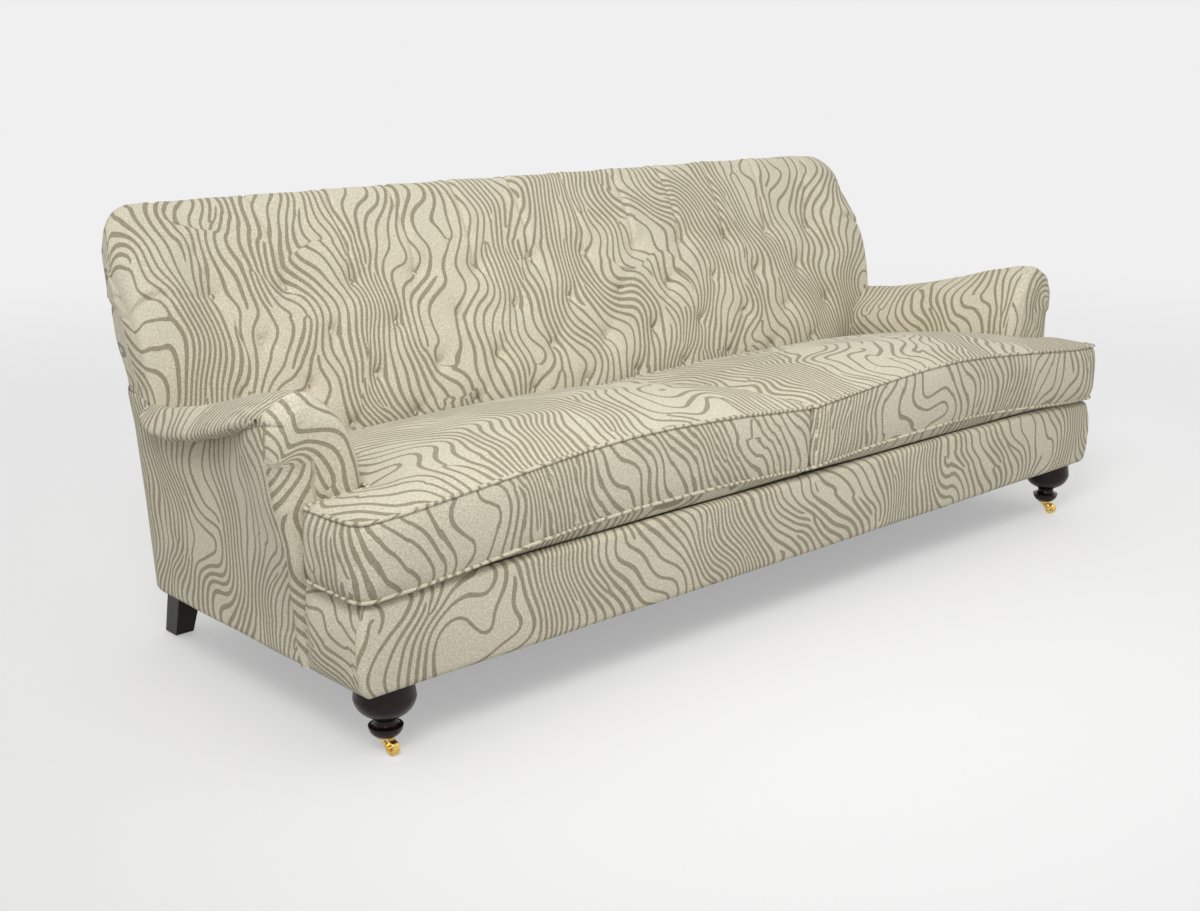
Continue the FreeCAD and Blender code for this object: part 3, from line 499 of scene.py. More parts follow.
# %% Back profile
field_profile = [(0.655, 0.284), (0.6585, 0.330), (0.661, 0.396), (0.686, 0.491), (0.720, 0.588),
                 (0.765, 0.682), (0.790, 0.740), (0.815, 0.790), (0.840, 0.830), (0.858, 0.852),
                 (0.873, 0.8585), (0.890, 0.854), (0.906, 0.838), (0.917, 0.810), (0.914, 0.785),
                 (0.900, 0.700), (0.880, 0.590), (0.856, 0.450)]
end_profile = [(0.672, 0.284), (0.680, 0.330), (0.684, 0.396), (0.690, 0.491), (0.702, 0.588),
               (0.735, 0.690), (0.764, 0.745), (0.797, 0.790), (0.829, 0.828), (0.850, 0.848),
               (0.870, 0.8565), (0.888, 0.852), (0.905, 0.836), (0.918, 0.805), (0.9175, 0.785),
               (0.903, 0.700), (0.8835, 0.590), (0.859, 0.450)]
rows = 200
field = smooth_line(field_profile, rows)
plain = smooth_line(end_profile, rows)
half_back, corner_round, front_round = 1.087, 0.080, 0.012
rear_round, low_rear_round = 0.094, 0.117
straight = np.arange(-(half_back - corner_round), half_back - corner_round + 1e-6, 0.0041)
sweep = np.radians(np.linspace(4, 90, 22))
right_xs = half_back - corner_round + corner_round * np.sin(sweep)
xs = np.concatenate([-right_xs[::-1], straight, right_xs])
far = np.abs(xs)
past_corner = np.maximum(far - (half_back - corner_round), 0)
top_drop = corner_round - np.sqrt(np.maximum(corner_round ** 2 - past_corner ** 2, 0))
weight = ease(far, 0.896, 1.004)
travel = travelled(field)
top_row = int(np.argmax(field[:, 1]))
print("back profile", rows, "rows", len(xs), "columns")


def rounded_off(radius):
    part = np.clip((far - (half_back - radius)) / radius, 0, 1)
    return radius * (1 - np.sqrt(1 - part ** 2))


def high_up_of(z):
    return ease(z, 0.53, 0.62)


# %% [markdown]
# ### Tufts and pleats
# Four rows of buttons pull the padding in. Creases run from button to button, and a pleat runs
# from each button of the top row over the top.

# %% Tufts
button_rows = [(12, 0.682), (11, 0.589), (12, 0.491), (11, 0.396)]
pitch = 0.1635
buttons = []
for count, z in button_rows:
    at = np.interp(z, field[:top_row, 1], travel[:top_row])
    for k in range(count):
        buttons.append(((k - (count - 1) / 2) * pitch, at, z))

u, v = np.meshgrid(xs, travel, indexing="ij")
sink = np.zeros_like(u)
for bx, bv, bz in buttons:
    du, dv = u - bx, v - bv
    r = np.sqrt(du ** 2 + dv ** 2)
    theta = np.arctan2(dv, du)
    phase = rng.uniform(0, 6.28)
    creases = 0.5 + 0.5 * np.cos(8 * theta + phase + 1.3 * np.sin(3 * theta + phase))
    sink += 0.0085 * np.exp(-(r / 0.030) ** 2) + 0.0055 * np.exp(-(r / 0.011) ** 2)
    sink += 0.0016 * creases * np.exp(-(r / 0.034) ** 2) * (1 - np.exp(-(r / 0.008) ** 2))
links = []
for i, (ax, av, az) in enumerate(buttons):
    for bx, bv, bz in buttons[i + 1:]:
        if az != bz and abs(ax - bx) < pitch * 0.6 and abs(av - bv) < 0.13:
            links.append((ax, av, bx, bv))
for ax, av, bx, bv in links:
    length2 = (bx - ax) ** 2 + (bv - av) ** 2
    t = np.clip(((u - ax) * (bx - ax) + (v - av) * (bv - av)) / length2, 0, 1)
    d = np.hypot(u - ax - t * (bx - ax), v - av - t * (bv - av))
    depth = 0.0012 + 0.0022 * np.abs(2 * t - 1) ** 2
    sink += depth * np.exp(-(d / 0.009) ** 2) * rng.uniform(0.5, 1.1)
first_v = buttons[0][1]
for bx, bv, bz in buttons[:12]:
    wander = 0.003 * np.sin(9 * (v - bv) + bx * 7)
    wander = wander + 0.070 * np.sign(bx) * (abs(bx) / 0.9) ** 5 * ease(v, bv, bv + 0.26)
    up = ease(v, bv, bv + 0.03) * (1 - ease(v, first_v + 0.30, first_v + 0.36))
    sink += 0.0042 * up * np.exp(-((u - bx - wander) / 0.0052) ** 2)
    sink -= 0.0016 * up * np.exp(-((np.abs(u - bx - wander) - 0.016) / 0.011) ** 2)
lumps = 0.0013 * np.sin(23 * u + 5 * np.sin(9 * v)) * np.sin(17 * v + 3 * np.sin(8 * u))
print("buttons", len(buttons), "creases", len(links))

# %% [markdown]
# ### Shape of the back
# The profile is swept along the back and sunk by the tufts. A fold marks where the arm tucks in.

# %% Back form
on_front = np.arange(rows)[None] < top_row
tuck_z = 0.682 + np.where(on_front, 0.018, -0.004) * ease(np.abs(u), 0.93, 1.04)

back = np.zeros((len(xs), rows, 3))
loops = field[None] * (1 - weight[:, None, None]) + plain[None] * weight[:, None, None]
tangent = np.gradient(loops, axis=1)
tangent /= np.linalg.norm(tangent, axis=2)[..., None]
out_y, out_z = -tangent[..., 1], tangent[..., 0]
sink = sink + lumps
side_tuck = np.exp(-((loops[..., 1] - tuck_z) / 0.0055) ** 2)
sink += side_tuck * on_front * 0.0024 * ease(np.abs(u), 0.91, 0.94)
sink += side_tuck * 0.0062 * ease(np.abs(u), 0.99, 1.06)
above_tuck = np.exp(-((loops[..., 1] - tuck_z - 0.016) / 0.012) ** 2)
sink -= 0.0030 * above_tuck * ease(np.abs(u), 0.96, 1.06)
back[..., 0] = u * (1 - 0.0025 * (1 - high_up_of(loops[..., 1])))
toward_rear = np.clip((loops[..., 0] - 0.800) / (0.915 - 0.800), 0, 1)
toward_rear[:, :int(top_row * 0.6)] = 0
toward_rear[:, int(top_row * 1.3):] = 1
high_up = high_up_of(loops[..., 1])
wide_round = rounded_off(low_rear_round)[:, None] * (1 - high_up)
wide_round = wide_round + rounded_off(rear_round)[:, None] * high_up
back[..., 1] = loops[..., 0] - out_y * sink
back[..., 1] += rounded_off(front_round)[:, None] * (1 - toward_rear) - wide_round * toward_rear
back[..., 2] = loops[..., 1] - out_z * sink - np.maximum(out_z, 0) * top_drop[:, None]
falling = np.clip((loops[..., 1] - 0.62) / 0.24, 0, 1) ** 1.5
back[..., 2] -= (1 - np.maximum(out_z, 0)) * top_drop[:, None] * falling
print("back form", back.shape)

# %% [markdown]
# Rings that shrink toward the heart of the profile close each end.

# %% Back ends
caps = []
for share in (0.10, 0.22, 0.36, 0.52, 0.70, 0.86, 1.0):
    edge = back[-1].copy()
    middle_y = 0.5 * (np.interp(edge[:, 2], edge[:top_row, 2], edge[:top_row, 1])
                      + np.interp(edge[:, 2], edge[top_row:, 2][::-1], edge[top_row:, 1][::-1]))
    heart_z = np.minimum(edge[:, 2], edge[:, 2].max() - 0.045)
    edge[:, 1] += share * (middle_y - edge[:, 1])
    edge[:, 2] += share * (heart_z - edge[:, 2])
    edge[:, 0] += 0.005 * math.sin(share * math.pi / 2)
    side_z = np.interp(edge[:, 1], [0.74, 0.88], [0.700, 0.678])
    edge[:, 0] -= 0.005 * np.exp(-((edge[:, 2] - side_z) / 0.006) ** 2) * math.sin(share * math.pi)
    caps.append(edge)
caps = np.array(caps)
back = np.concatenate([mirror(caps)[::-1], back, caps])
back_skin = skin("back_cushion", back, cloth_back, "sofa_frame", flip=True)
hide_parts("back_pad")
print("back skin", back.shape)

# %% [markdown]
# ### Buttons
# Small covered domes, gathered at the rim, sunk into their tufts.

# %% Buttons
button_points, button_faces = [], []
for bx, bv, bz in buttons:
    i = int(np.argmin(np.abs(xs - bx)))
    j = int(np.argmin(np.abs(travel - bv)))
    seat_point = back[i + len(caps), j]
    normal = Vector((0, out_y[i, j], out_z[i, j]))
    side = Vector((1, 0, 0))
    up = normal.cross(side)
    base = len(button_points)
    profile = [(0.0, 0.0052), (0.0026, 0.0050), (0.0046, 0.0042), (0.0060, 0.0027),
               (0.0066, 0.0010), (0.0064, -0.0010), (0.0050, -0.0024)]
    sides = 20
    for reach, rise in profile:
        for k in range(sides):
            turn = 2 * math.pi * k / sides
            pleat = 1 + 0.035 * math.cos(10 * turn) * (reach > 0.005)
            p = Vector(seat_point) + normal * rise + side * (reach * pleat * math.cos(turn))
            button_points.append(p + up * (reach * pleat * math.sin(turn)) + Vector((0, front, 0)))
    button_faces += grid_faces(len(profile), sides, base, round_columns=True)
button_cloth = np.array(button_points)[:, [0, 2]]
button_piece = mesh_piece("covered_buttons", button_points, button_faces, cloth_facing,
                          "sofa_frame", button_cloth)
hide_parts("back_buttons")
print("button points", len(button_points))

# %% [markdown]
# ## The arms
# A scroll arm is one roll of padding that turns outward over its rail. It falls from front to
# rear, and it ends in a rounded nose beside the back. The front is a soft face.

# %% Arm sections
arm_y = np.array([0.176, 0.225, 0.298, 0.378, 0.461, 0.547, 0.625, 0.665, 0.690, 0.703, 0.709])
arm_top = np.array([0.6095, 0.6045, 0.589, 0.567, 0.544, 0.524, 0.509, 0.506, 0.504, 0.501, 0.497])
arm_out = np.array([1.1495, 1.149, 1.147, 1.144, 1.139, 1.134, 1.128, 1.122, 1.112, 1.101, 1.091])
arm_roll = np.array([0.066, 0.064, 0.060, 0.053, 0.047, 0.042, 0.039, 0.036, 0.031, 0.023, 0.014])
arm_tuck = np.array([0.566, 0.556, 0.531, 0.506, 0.485, 0.468, 0.462, 0.468, 0.476, 0.484, 0.489])
arm_in = np.array([0.976, 0.978, 0.981, 0.984, 0.988, 0.992, 0.997, 1.003, 1.005, 1.006, 1.006])
arm_front, face_round, side_x = 0.158, 0.018, 1.092
roll_start = 0.176


def face_y(z):
    """The arm's front leans forward a little above the base."""
    return 0.172 - (0.172 - arm_front) * ease(z, 0.275, 0.335)


def flare(y, z):
    """How far the outside of the arm leans out beyond the base, near the arm's front."""
    high = np.interp(z, [0.190, 0.294, 0.375, 0.428, 0.506, 0.535, 0.565],
                     [0.0, 0.018, 0.035, 0.047, 0.058, 0.0585, 0.0560])
    return high * (1 - ease(y, 0.18, 0.44))


def nose_back(x, z):
    """The nose rounds back at its top and outer edge."""
    return 0.010 * ease(z, 0.535, 0.585) * ease(np.abs(x), 1.00, 1.06)


def arm_section(y, count=84):
    top, out, roll, tuck, inner = [float(np.interp(y, arm_y, a))
                                   for a in (arm_top, arm_out, arm_roll, arm_tuck, arm_in)]
    middle = out - roll
    span = middle - inner
    s = min(roll, 0.060) / 0.060
    foot = side_x + float(flare(y, tuck))
    high, crown = top - tuck, middle + 0.1 * roll
    over, under = out - crown, min(roll, high)
    points = [(inner, 0.284), (inner, top - 0.200 * s - 0.03),
              (inner + 0.03 * span, top - 0.135 * s),
              (inner + 0.22 * span, top - 0.072 * s), (inner + 0.52 * span, top - 0.028 * s),
              (inner + 0.82 * span, top - 0.004), (crown, top),
              (crown + 0.50 * over, top - 0.27 * high), (crown + 0.86 * over, top - 0.56 * high),
              (out, top - 0.78 * high), (out - 0.06 * under, tuck + 0.06 * high),
              (max(out - 0.32 * under, foot + 0.002), tuck - 0.04 * under),
              (0.5 * (out - 0.34 * under) + 0.5 * foot, tuck - 0.04 * under), (foot - 0.002, tuck)]
    return smooth_line(points, count)


def scroll_grid():
    ys = np.concatenate([np.linspace(arm_front + face_round, 0.652, 92),
                         np.linspace(0.656, 0.7085, 18)])
    grid = []
    for y in ys:
        section = arm_section(y)
        lane = np.linspace(0, 1, len(section))
        puff = 0.0012 * np.sin(37 * y + 4 * lane) * np.sin(9 * lane + 21 * y)
        puff = puff * float(ease(y, roll_start, 0.22))
        pucker = 0.0011 * np.sin(y * 310 + 2.2 * np.sin(y * 47))
        pucker = pucker * np.exp(-((1 - lane) / 0.12) ** 2) * float(ease(y, roll_start, 0.20))
        settle = 1 - float(ease(y, roll_start, 0.300))
        grid.append([(x + (puff[k] + pucker[k]) * 0.7, y + settle * float(nose_back(x, z)),
                      z + puff[k] + pucker[k])
                     for k, (x, z) in enumerate(section)])
    return np.array(grid)


scroll = scroll_grid()
tucked = scroll[:1] + (0, -0.008, 0)
tucked[..., 0] += np.where(tucked[..., 0] < 1.03, 0.004, -0.002)
tucked[..., 2] -= 0.003
scroll = np.concatenate([tucked, scroll])
for side_name, grid in (("right", scroll), ("left", mirror(scroll))):
    piece = skin("arm_roll_" + side_name, grid, cloth_arm, "sofa_frame", flip=side_name == "left")
    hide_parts("arm_pad_" + side_name)
print("arm rolls", scroll.shape)

# %% [markdown]
# ### Front of the arm
# The face is laced to a middle line. It rounds over to meet the roll and, lower down, turns
# the corner to the outside of the arm as a narrow strip.

# %% Arm fronts
def strip_seam_y(z):
    return np.interp(z, [0.132, 0.140, 0.176, 0.216, 0.256, 0.300, 0.335, 0.575],
                     [0.200, 0.205, 0.213, 0.208, 0.201, 0.191, 0.183, 0.182])


def arm_face():
    roll_line = arm_section(arm_front + face_round)
    keep = (roll_line[:, 1] > 0.5645) | (roll_line[:, 0] < 1.08)
    upper = roll_line[keep]
    lower_z = np.concatenate([np.linspace(0.562, 0.4985, 8), np.linspace(0.4975, 0.132, 42)])
    lower = [(side_x + float(flare(arm_front, z)), z) for z in lower_z]
    outline = np.vstack([upper, lower])
    rows_out = []
    for x, z in outline:
        heart_z = min(z, 0.560)
        heart_x = float(np.interp(heart_z, [0.28, 0.46, 0.560], [1.034, 1.045, 1.097]))
        reach = math.hypot(x - heart_x, z - heart_z)
        line = []
        for turn in np.radians(np.linspace(0, 90, 9)):
            d = face_round * (1 - math.cos(turn))
            line.append((d / reach, float(face_y(z)) + face_round * (1 - math.sin(turn))))
        for t in np.linspace(face_round / reach, 1, 12)[1:]:
            line.append((t, float(face_y(z)) - 0.0040 * math.sin(math.pi * min(1, t))))
        tuck_in = 0.005 * float(ease(0.498 - z, 0.0, 0.003) * (1 - ease(0.498 - z, 0.01, 0.09)))
        tuck_in *= float(x > 1.04)
        back_off = float(nose_back(x, z))
        rows_out.append([(x + (heart_x - x) * t,
                          y + (tuck_in + back_off) * (1 - float(ease(t, 0.0, 1.0))),
                          z + (heart_z - z) * t) for t, y in line])
    grid = np.array(rows_out)
    x, z = grid[..., 0], grid[..., 2]
    aside, up = 1.14 - x, z - 0.50
    depth = grid[..., 1] - np.array([[float(face_y(h)) for h in row] for row in z])
    depth = 0.6 * np.clip(depth, 0, face_round)
    outer = (z < 0.498) & (x > 1.075)
    cloth = np.stack([np.where(up > 0, np.hypot(aside, up), np.abs(aside)) + depth,
                      np.where(up > 0, 0.09 * np.arctan2(up, aside), up)], axis=2)
    cloth[outer] = np.stack([aside - depth, up], axis=2)[outer] + (0.31, 0.17)
    return grid, cloth


def arm_strip():
    grid, cloth = [], []
    for z in np.linspace(0.132, 0.572, 74):
        seam = float(strip_seam_y(z))
        line = []
        for t in np.linspace(0, 1, 14):
            begin = float(face_y(z)) + face_round
            y = begin + t * (seam - begin)
            dip = 0.0028 * math.exp(-((1 - t) / 0.12) ** 2)
            line.append((side_x + float(flare(y, z)) - dip + 0.0012 * math.sin(math.pi * t), y, z))
        grid.append(line)
        edge = 1.14 - side_x - float(flare(arm_front, z)) - 0.6 * face_round
        cloth.append([(edge - (y - begin) + 0.31, z - 0.50 + 0.17) for x, y, z in line])
    return np.array(grid), np.array(cloth)


(face, face_cloth), (strip, strip_cloth) = arm_face(), arm_strip()
for side_name in ("right", "left"):
    there = side_name == "left"
    piece = skin("arm_face_" + side_name, mirror(face) if there else face, cloth_facing,
                 "sofa_frame", flip=there, cloth=face_cloth)
    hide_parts("arm_facing_" + side_name)
    piece = skin("arm_strip_" + side_name, mirror(strip) if there else strip, cloth_facing,
                 "sofa_frame", flip=there, cloth=strip_cloth)
print("arm faces", face.shape, strip.shape)

# %% [markdown]
# ### Outside of the arm
# A taut panel under the roll, gathered along its top, that wraps the rear corner.

# %% Outside arm panels
rake, base_low = 0.175, 0.132
rear_y, low_corner, panel_start = 0.800, 0.115, 0.185
panel_y = [0.20, 0.225, 0.25, 0.30, 0.38, 0.47, 0.55, 0.61, 0.65, 0.69, 0.705, 0.74, 0.79, 0.82,
           0.84, 0.87, 1.2]
panel_z = [0.572, 0.563, 0.553, 0.533, 0.507, 0.487, 0.470, 0.464, 0.468, 0.480, 0.504, 0.516,
           0.516, 0.520, 0.532, 0.558, 0.572]


def corner_radius(z):
    return float(np.interp(z, [0.132, 0.30, 0.45, 0.54, 0.60], [0.114, 0.128, 0.132, 0.116, 0.108]))


def panel_top(y):
    return float(np.interp(y, panel_y, panel_z))


def outside_panel():
    along = np.concatenate([np.linspace(0, 1, 120), 1 + np.linspace(0, 1, 22)[1:]])
    grid = []
    for s in along:
        column = []
        y_low = panel_start + min(s, 1) * (rear_y - low_corner - panel_start)
        lean_top = rake * 0.38 * float(ease(min(s, 1), 0.6, 1.0))
        top = panel_top(y_low + lean_top + low_corner * math.sin(max(0.0, s - 1) * math.pi / 2))
        for t in np.concatenate([[0.0, 0.004, 0.012], np.linspace(0.03, 0.97, 46), [0.985, 1.0]]):
            z = base_low + t * (top - base_low)
            lean = rake * (z - base_low)
            seam = float(strip_seam_y(z))
            radius = corner_radius(z)
            turn_under = 0.004 * math.exp(-(t / 0.006) ** 2)
            dip = 0.003 * math.exp(-((1 - t) / 0.012) ** 2)
            if s <= 1:
                y = seam + s * (rear_y - radius + lean - seam)
                swell = 0.0020 * math.sin(math.pi * s) * math.sin(math.pi * t)
                dip += 0.003 * math.exp(-((y - seam) / 0.004) ** 2)
                gather = math.sin(y * 290 + 3 * math.sin(y * 31))
                gather *= math.exp(-((1 - t) / 0.055) ** 2)
                wave = 0.0010 * math.sin(26 * y + 3 * z) * math.sin(9 * z)
                column.append((side_x + float(flare(y, z)) + swell + 0.0012 * gather + wave
                               - dip - turn_under, y, z))
            else:
                turn = (s - 1) * math.pi / 2
                r = radius - dip - turn_under
                column.append((side_x - radius + r * math.cos(turn),
                               rear_y - radius + lean + r * math.sin(turn), z))
        grid.append(column)
    return np.array(grid)


panel = outside_panel()
for side_name, grid in (("right", panel), ("left", mirror(panel))):
    piece = skin("outside_arm_" + side_name, grid, cloth_side, "sofa_frame",
                 flip=side_name == "left")
    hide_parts("outside_arm_panel_" + side_name)
under_roll = [(side_x + float(flare(y, panel_top(y))) + 0.0030, y, panel_top(y) - 0.002)
              for y in np.linspace(0.200, 0.700, 440)]
for side_name, path in (("right", under_roll), ("left", mirror(under_roll))):
    piece = tube("arm_piping_soft_" + side_name, path, 0.0036, cloth_side, "sofa_frame",
                 beads=0.05, bead_step=0.011)
    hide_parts("arm_piping_" + side_name)
print("outside arms", panel.shape)

# %% [markdown]
# ### Outside back
# A taut panel closes the rear between the two wrapped corners.

# %% Outside back
columns = np.linspace(-1, 1, 120)
levels = np.linspace(0, 1, 60)
outside = []
for share in columns:
    line = []
    for t in levels:
        z = base_low + t * (0.812 - base_low)
        edge = side_x - corner_radius(z)
        x = share * edge
        dip = 0.004 * math.exp(-(t / 0.01) ** 2) + 0.003 * math.exp(-((1 - t) / 0.012) ** 2)
        dip += 0.003 * math.exp(-((edge - abs(x)) / 0.004) ** 2)
        swell = 0.002 * math.sin(math.pi * t) + 0.0008 * math.sin(14 * x + 2 * z) * math.sin(7 * z)
        line.append((x, rear_y + rake * (z - base_low) + swell - dip, z))
    outside.append(line)
piece = skin("outside_back", np.array(outside), cloth_side, "sofa_frame", flip=True)
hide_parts("outside_back_panel")
print("outside back", len(columns), "by", len(levels))

# %% [markdown]
# ## The base border
# A padded band round the front rail. Its top rolls over under the cushions.

# %% Border
def border_path(inset, corner=0.009):
    r = max(corner - inset, 0.0006)
    middle = inset + r
    quarter = np.radians(np.linspace(0, 90, 10))
    run = np.linspace(0.171, middle + 0.002, 24)
    left = [(-side_x + inset, y) for y in run]
    left += [(-side_x + middle - r * math.cos(t), middle - r * math.sin(t)) for t in quarter]
    edge = side_x - middle - 0.002
    centre = [(x, inset) for x in np.linspace(-edge, edge, 330)]
    return np.array(left + centre + [(-x, y) for x, y in left[::-1]])


def border_crown(x):
    """The border stands a little taller over the middle of the sofa."""
    return 0.012 * np.clip(1 - (np.abs(x) / 1.092) ** 6, 0, 1)


border = []
rounding, border_top = 0.015, 0.288
for t in np.concatenate([np.linspace(0, 1, 42), 1 + np.linspace(0, 1, 12)[1:], [2.4, 3.0]]):
    if t <= 1:
        z = base_low + t * (border_top - rounding - base_low)
        inset = 0.005 * math.exp(-((z - base_low) / 0.004)) - 0.0040 * math.sin(math.pi * t)
    elif t <= 2:
        turn = (t - 1) * math.pi / 2
        z = border_top - rounding + rounding * math.sin(turn)
        inset = rounding * (1 - math.cos(turn))
    else:
        z = border_top - 0.004 * (t - 2)
        inset = rounding + 0.010 * (t - 2)
    path = border_path(inset)
    length = np.arange(len(path)) / len(path)
    wave = 0.0009 * np.sin(61 * length * 6.28 / 10) * np.sin(3 * z * 10)
    swell = 0.009 * (1 - (2 * min(t, 1) - 1) ** 4)
    taller = (z - base_low) / (border_top - base_low)
    row = []
    for i, (x, y) in enumerate(path):
        wider = swell * float(ease(abs(x), 0.98, 1.07) * ease(0.171 - y, 0, 0.03))
        row.append((x + math.copysign(wider, x), y + (wave[i] if y < 0.03 else 0),
                    z + taller * float(border_crown(x))))
    border.append(row)
border = np.array(border)
border_cloth = unrolled(border.transpose(1, 0, 2)).transpose(1, 0, 2)
ends = np.abs(border[..., 0]) > side_x - 0.010
ends &= border[..., 1] > 0.010
border_cloth[ends] = border_cloth[ends][:, ::-1] + (0.53, 0.29)
piece = skin("base_border", border, cloth_border, "sofa_frame", flip=True, cloth=border_cloth)
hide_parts("front_border")
print("border", border.shape)

# %% [markdown]
# ### Deck
# A slightly domed plain cloth under the cushions, between the arms.

# %% Deck
deck = []
for x in np.linspace(-0.972, 0.972, 90):
    deck.append([(x, y, 0.288 + 0.004 * math.sin(math.pi * (y - 0.03) / 0.64)
                  * (1 - abs(x / 0.975) ** 8)) for y in np.linspace(0.028, 0.668, 40)])
piece = skin("seat_deck", np.array(deck), deck_cloth, "sofa_frame", flip=False)
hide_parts("seat_deck_pad")
print("deck", np.array(deck).shape)

# %% [markdown]
# ## Seat cushions
# Each starts as a flat boxed shape with a wing in front of the arm. It is remeshed, bent to its
# arch, held along both seams and blown up as cloth. The piping is sewn on afterwards.

# %% Cushion outline
def cushion_outline(inset=0.0, step=0.012):
    corners = [(0.005, -0.006, 0.010), (1.102, -0.006, 0.030), (1.102, 0.150, 0.012),
               (0.967, 0.150, 0.010), (0.967, 0.645, 0.030), (0.005, 0.645, 0.012)]
    inward = [(1, 1), (-1, 1), (-1, -1), (-1, -1), (-1, -1), (1, -1)]
    points = []
    for (x, y, r), (sx, sy) in zip(corners, inward):
        points.append((x + sx * inset, y + sy * inset, max(r - inset, 0.002)))
    out = []
    count = len(points)
    for i, (x, y, r) in enumerate(points):
        here = np.array([x, y])
        before = np.array(points[i - 1][:2]) - here
        after = np.array(points[(i + 1) % count][:2]) - here
        before, after = before / np.linalg.norm(before), after / np.linalg.norm(after)
        start_at, end_at = here + before * r, here + after * r
        for t in np.linspace(0, 1, 7):
            out.append((1 - t) ** 2 * start_at + 2 * t * (1 - t) * here + t * t * end_at)
    out = np.array(out)
    closed = np.vstack([out, out[:1]])
    length = travelled(closed)
    at = np.linspace(0, length[-1], int(length[-1] / step), endpoint=False)
    return np.stack([np.interp(at, length, closed[:, k]) for k in range(2)], axis=1)


print("outline points", len(cushion_outline()))

# %% [markdown]
# ### Seams
# Both seams bow up over the middle of the cushion and sink to the rear, as read off the photo.

# %% Seams
seam_low, seam_high, rear_fall = 0.298, 0.424, 0.050
bow_x = [0.0, 0.10, 0.20, 0.30, 0.40, 0.50, 0.60, 0.70, 0.80, 0.90, 1.00, 1.11]
bow_low = [0.020, 0.027, 0.032, 0.035, 0.036, 0.037, 0.034, 0.028, 0.020, 0.011, 0.004, 0.002]
bow_high = [0.022, 0.030, 0.038, 0.044, 0.048, 0.049, 0.045, 0.037, 0.028, 0.019, 0.010, 0.003]


def arch(x, y, share):
    """How far the seams bow up over the middle of each cushion, and sink to the rear."""
    low, high = (np.interp(np.abs(x), bow_x, bow) for bow in (bow_low, bow_high))
    bow = (low + (high - low) * share) * (1 - 0.6 * ease(y, 0.1, 0.6))
    return bow - rear_fall * share * ease(y, 0.10, 0.62)


def resting_height(x, y):
    """The underside lies on the border at the front and on the deck behind it."""
    return 0.2886 + border_crown(x) * (1 - ease(y, 0.015, 0.050)) + 0.0037 * ease(y, 0.02, 0.12)


def seam_line(high, inset=0.0, step=0.0012):
    plan = cushion_outline(inset, step)
    level = seam_high if high else seam_low
    x, y = plan[:, 0], plan[:, 1]
    ear = 0.003 * np.exp(-(np.hypot(x - 1.1, y - 0.0) / 0.05) ** 2) * (1 if high else -0.3)
    return np.column_stack([x, y, level + arch(x, y, 1.0 if high else 0.0) + ear])


print("seam points", len(seam_line(True)))


# %% [markdown]
# ### The cushion's cloth
# Each face of the mesh is told where it lies on its flat cloth, so that the print follows.

# %% Cushion cloth
def nearest(points, line):
    tree = KDTree(len(line))
    for i, p in enumerate(line):
        tree.insert(p, i)
    tree.balance()
    found = [tree.find(p) for p in points]
    return np.array([f[2] for f in found]), np.array([f[1] for f in found])


def distance_to(points, line):
    return nearest(points, line)[0]


def on_plan(points):
    """The same points, laid down on the plan."""
    return np.column_stack([points[:, :2], np.zeros(len(points))])


def lay_cushion_cloth(mesh, points):
    """The two faces lie flat as they are. The boxing lies flat along the seam."""
    corners = np.empty(len(mesh.loops), int)
    mesh.loops.foreach_get("vertex_index", corners)
    counts = np.empty(len(mesh.polygons), int)
    mesh.polygons.foreach_get("loop_total", counts)
    owner = np.repeat(np.arange(len(counts)), counts)
    heart = np.stack([np.bincount(owner, points[corners, k]) / counts for k in range(3)], axis=1)
    share = (heart[:, 2] - seam_low) / (seam_high - seam_low)
    seam = np.where(share > 0.5, seam_high, seam_low)
    rise = heart[:, 2] - seam - arch(heart[:, 0], heart[:, 1], np.round(share.clip(0, 1)))
    boxing = np.where(share > 0.5, rise < 0, rise > 0)[owner]
    step, begin = 0.004, 80
    line = on_plan(np.roll(cushion_outline(0.0, step), begin, axis=0))
    along = nearest(on_plan(points), line)[1] * step
    places = points[corners, :2]
    places[boxing, 0] = along[corners[boxing]] + 0.37
    places[boxing, 1] = points[corners[boxing], 2]
    lay_cloth(mesh, places, "CORNER")


# %% [markdown]
# ### Start and filling
# A flat box is remeshed evenly. Air pressure fills it while both seams are held.

# %% Start and filling
def boxed_start(name):
    plan = cushion_outline(0.0, 0.012)
    n = len(plan)
    points = [(x, y + front, z) for z in (seam_low, seam_high) for x, y in plan]
    faces = [(i, (i + 1) % n, n + (i + 1) % n, n + i) for i in range(n)]
    faces += [tuple(range(n))[::-1], tuple(range(n, 2 * n))]
    mesh = bpy.data.meshes.new(name)
    mesh.from_pydata(points, [], faces)
    piece = bpy.data.objects.new(name, mesh)
    bpy.context.scene.collection.objects.link(piece)
    remesh = piece.modifiers.new("even", "REMESH")
    remesh.mode, remesh.voxel_size = "VOXEL", 0.0075
    graph = bpy.context.evaluated_depsgraph_get()
    done = bpy.data.meshes.new_from_object(piece.evaluated_get(graph))
    piece.modifiers.clear()
    piece.data = done
    return piece


def coordinates(mesh):
    flat = np.empty(len(mesh.vertices) * 3)
    mesh.vertices.foreach_get("co", flat)
    return flat.reshape(-1, 3)


def set_coordinates(mesh, points):
    mesh.vertices.foreach_set("co", np.asarray(points, float).ravel())
    mesh.update()


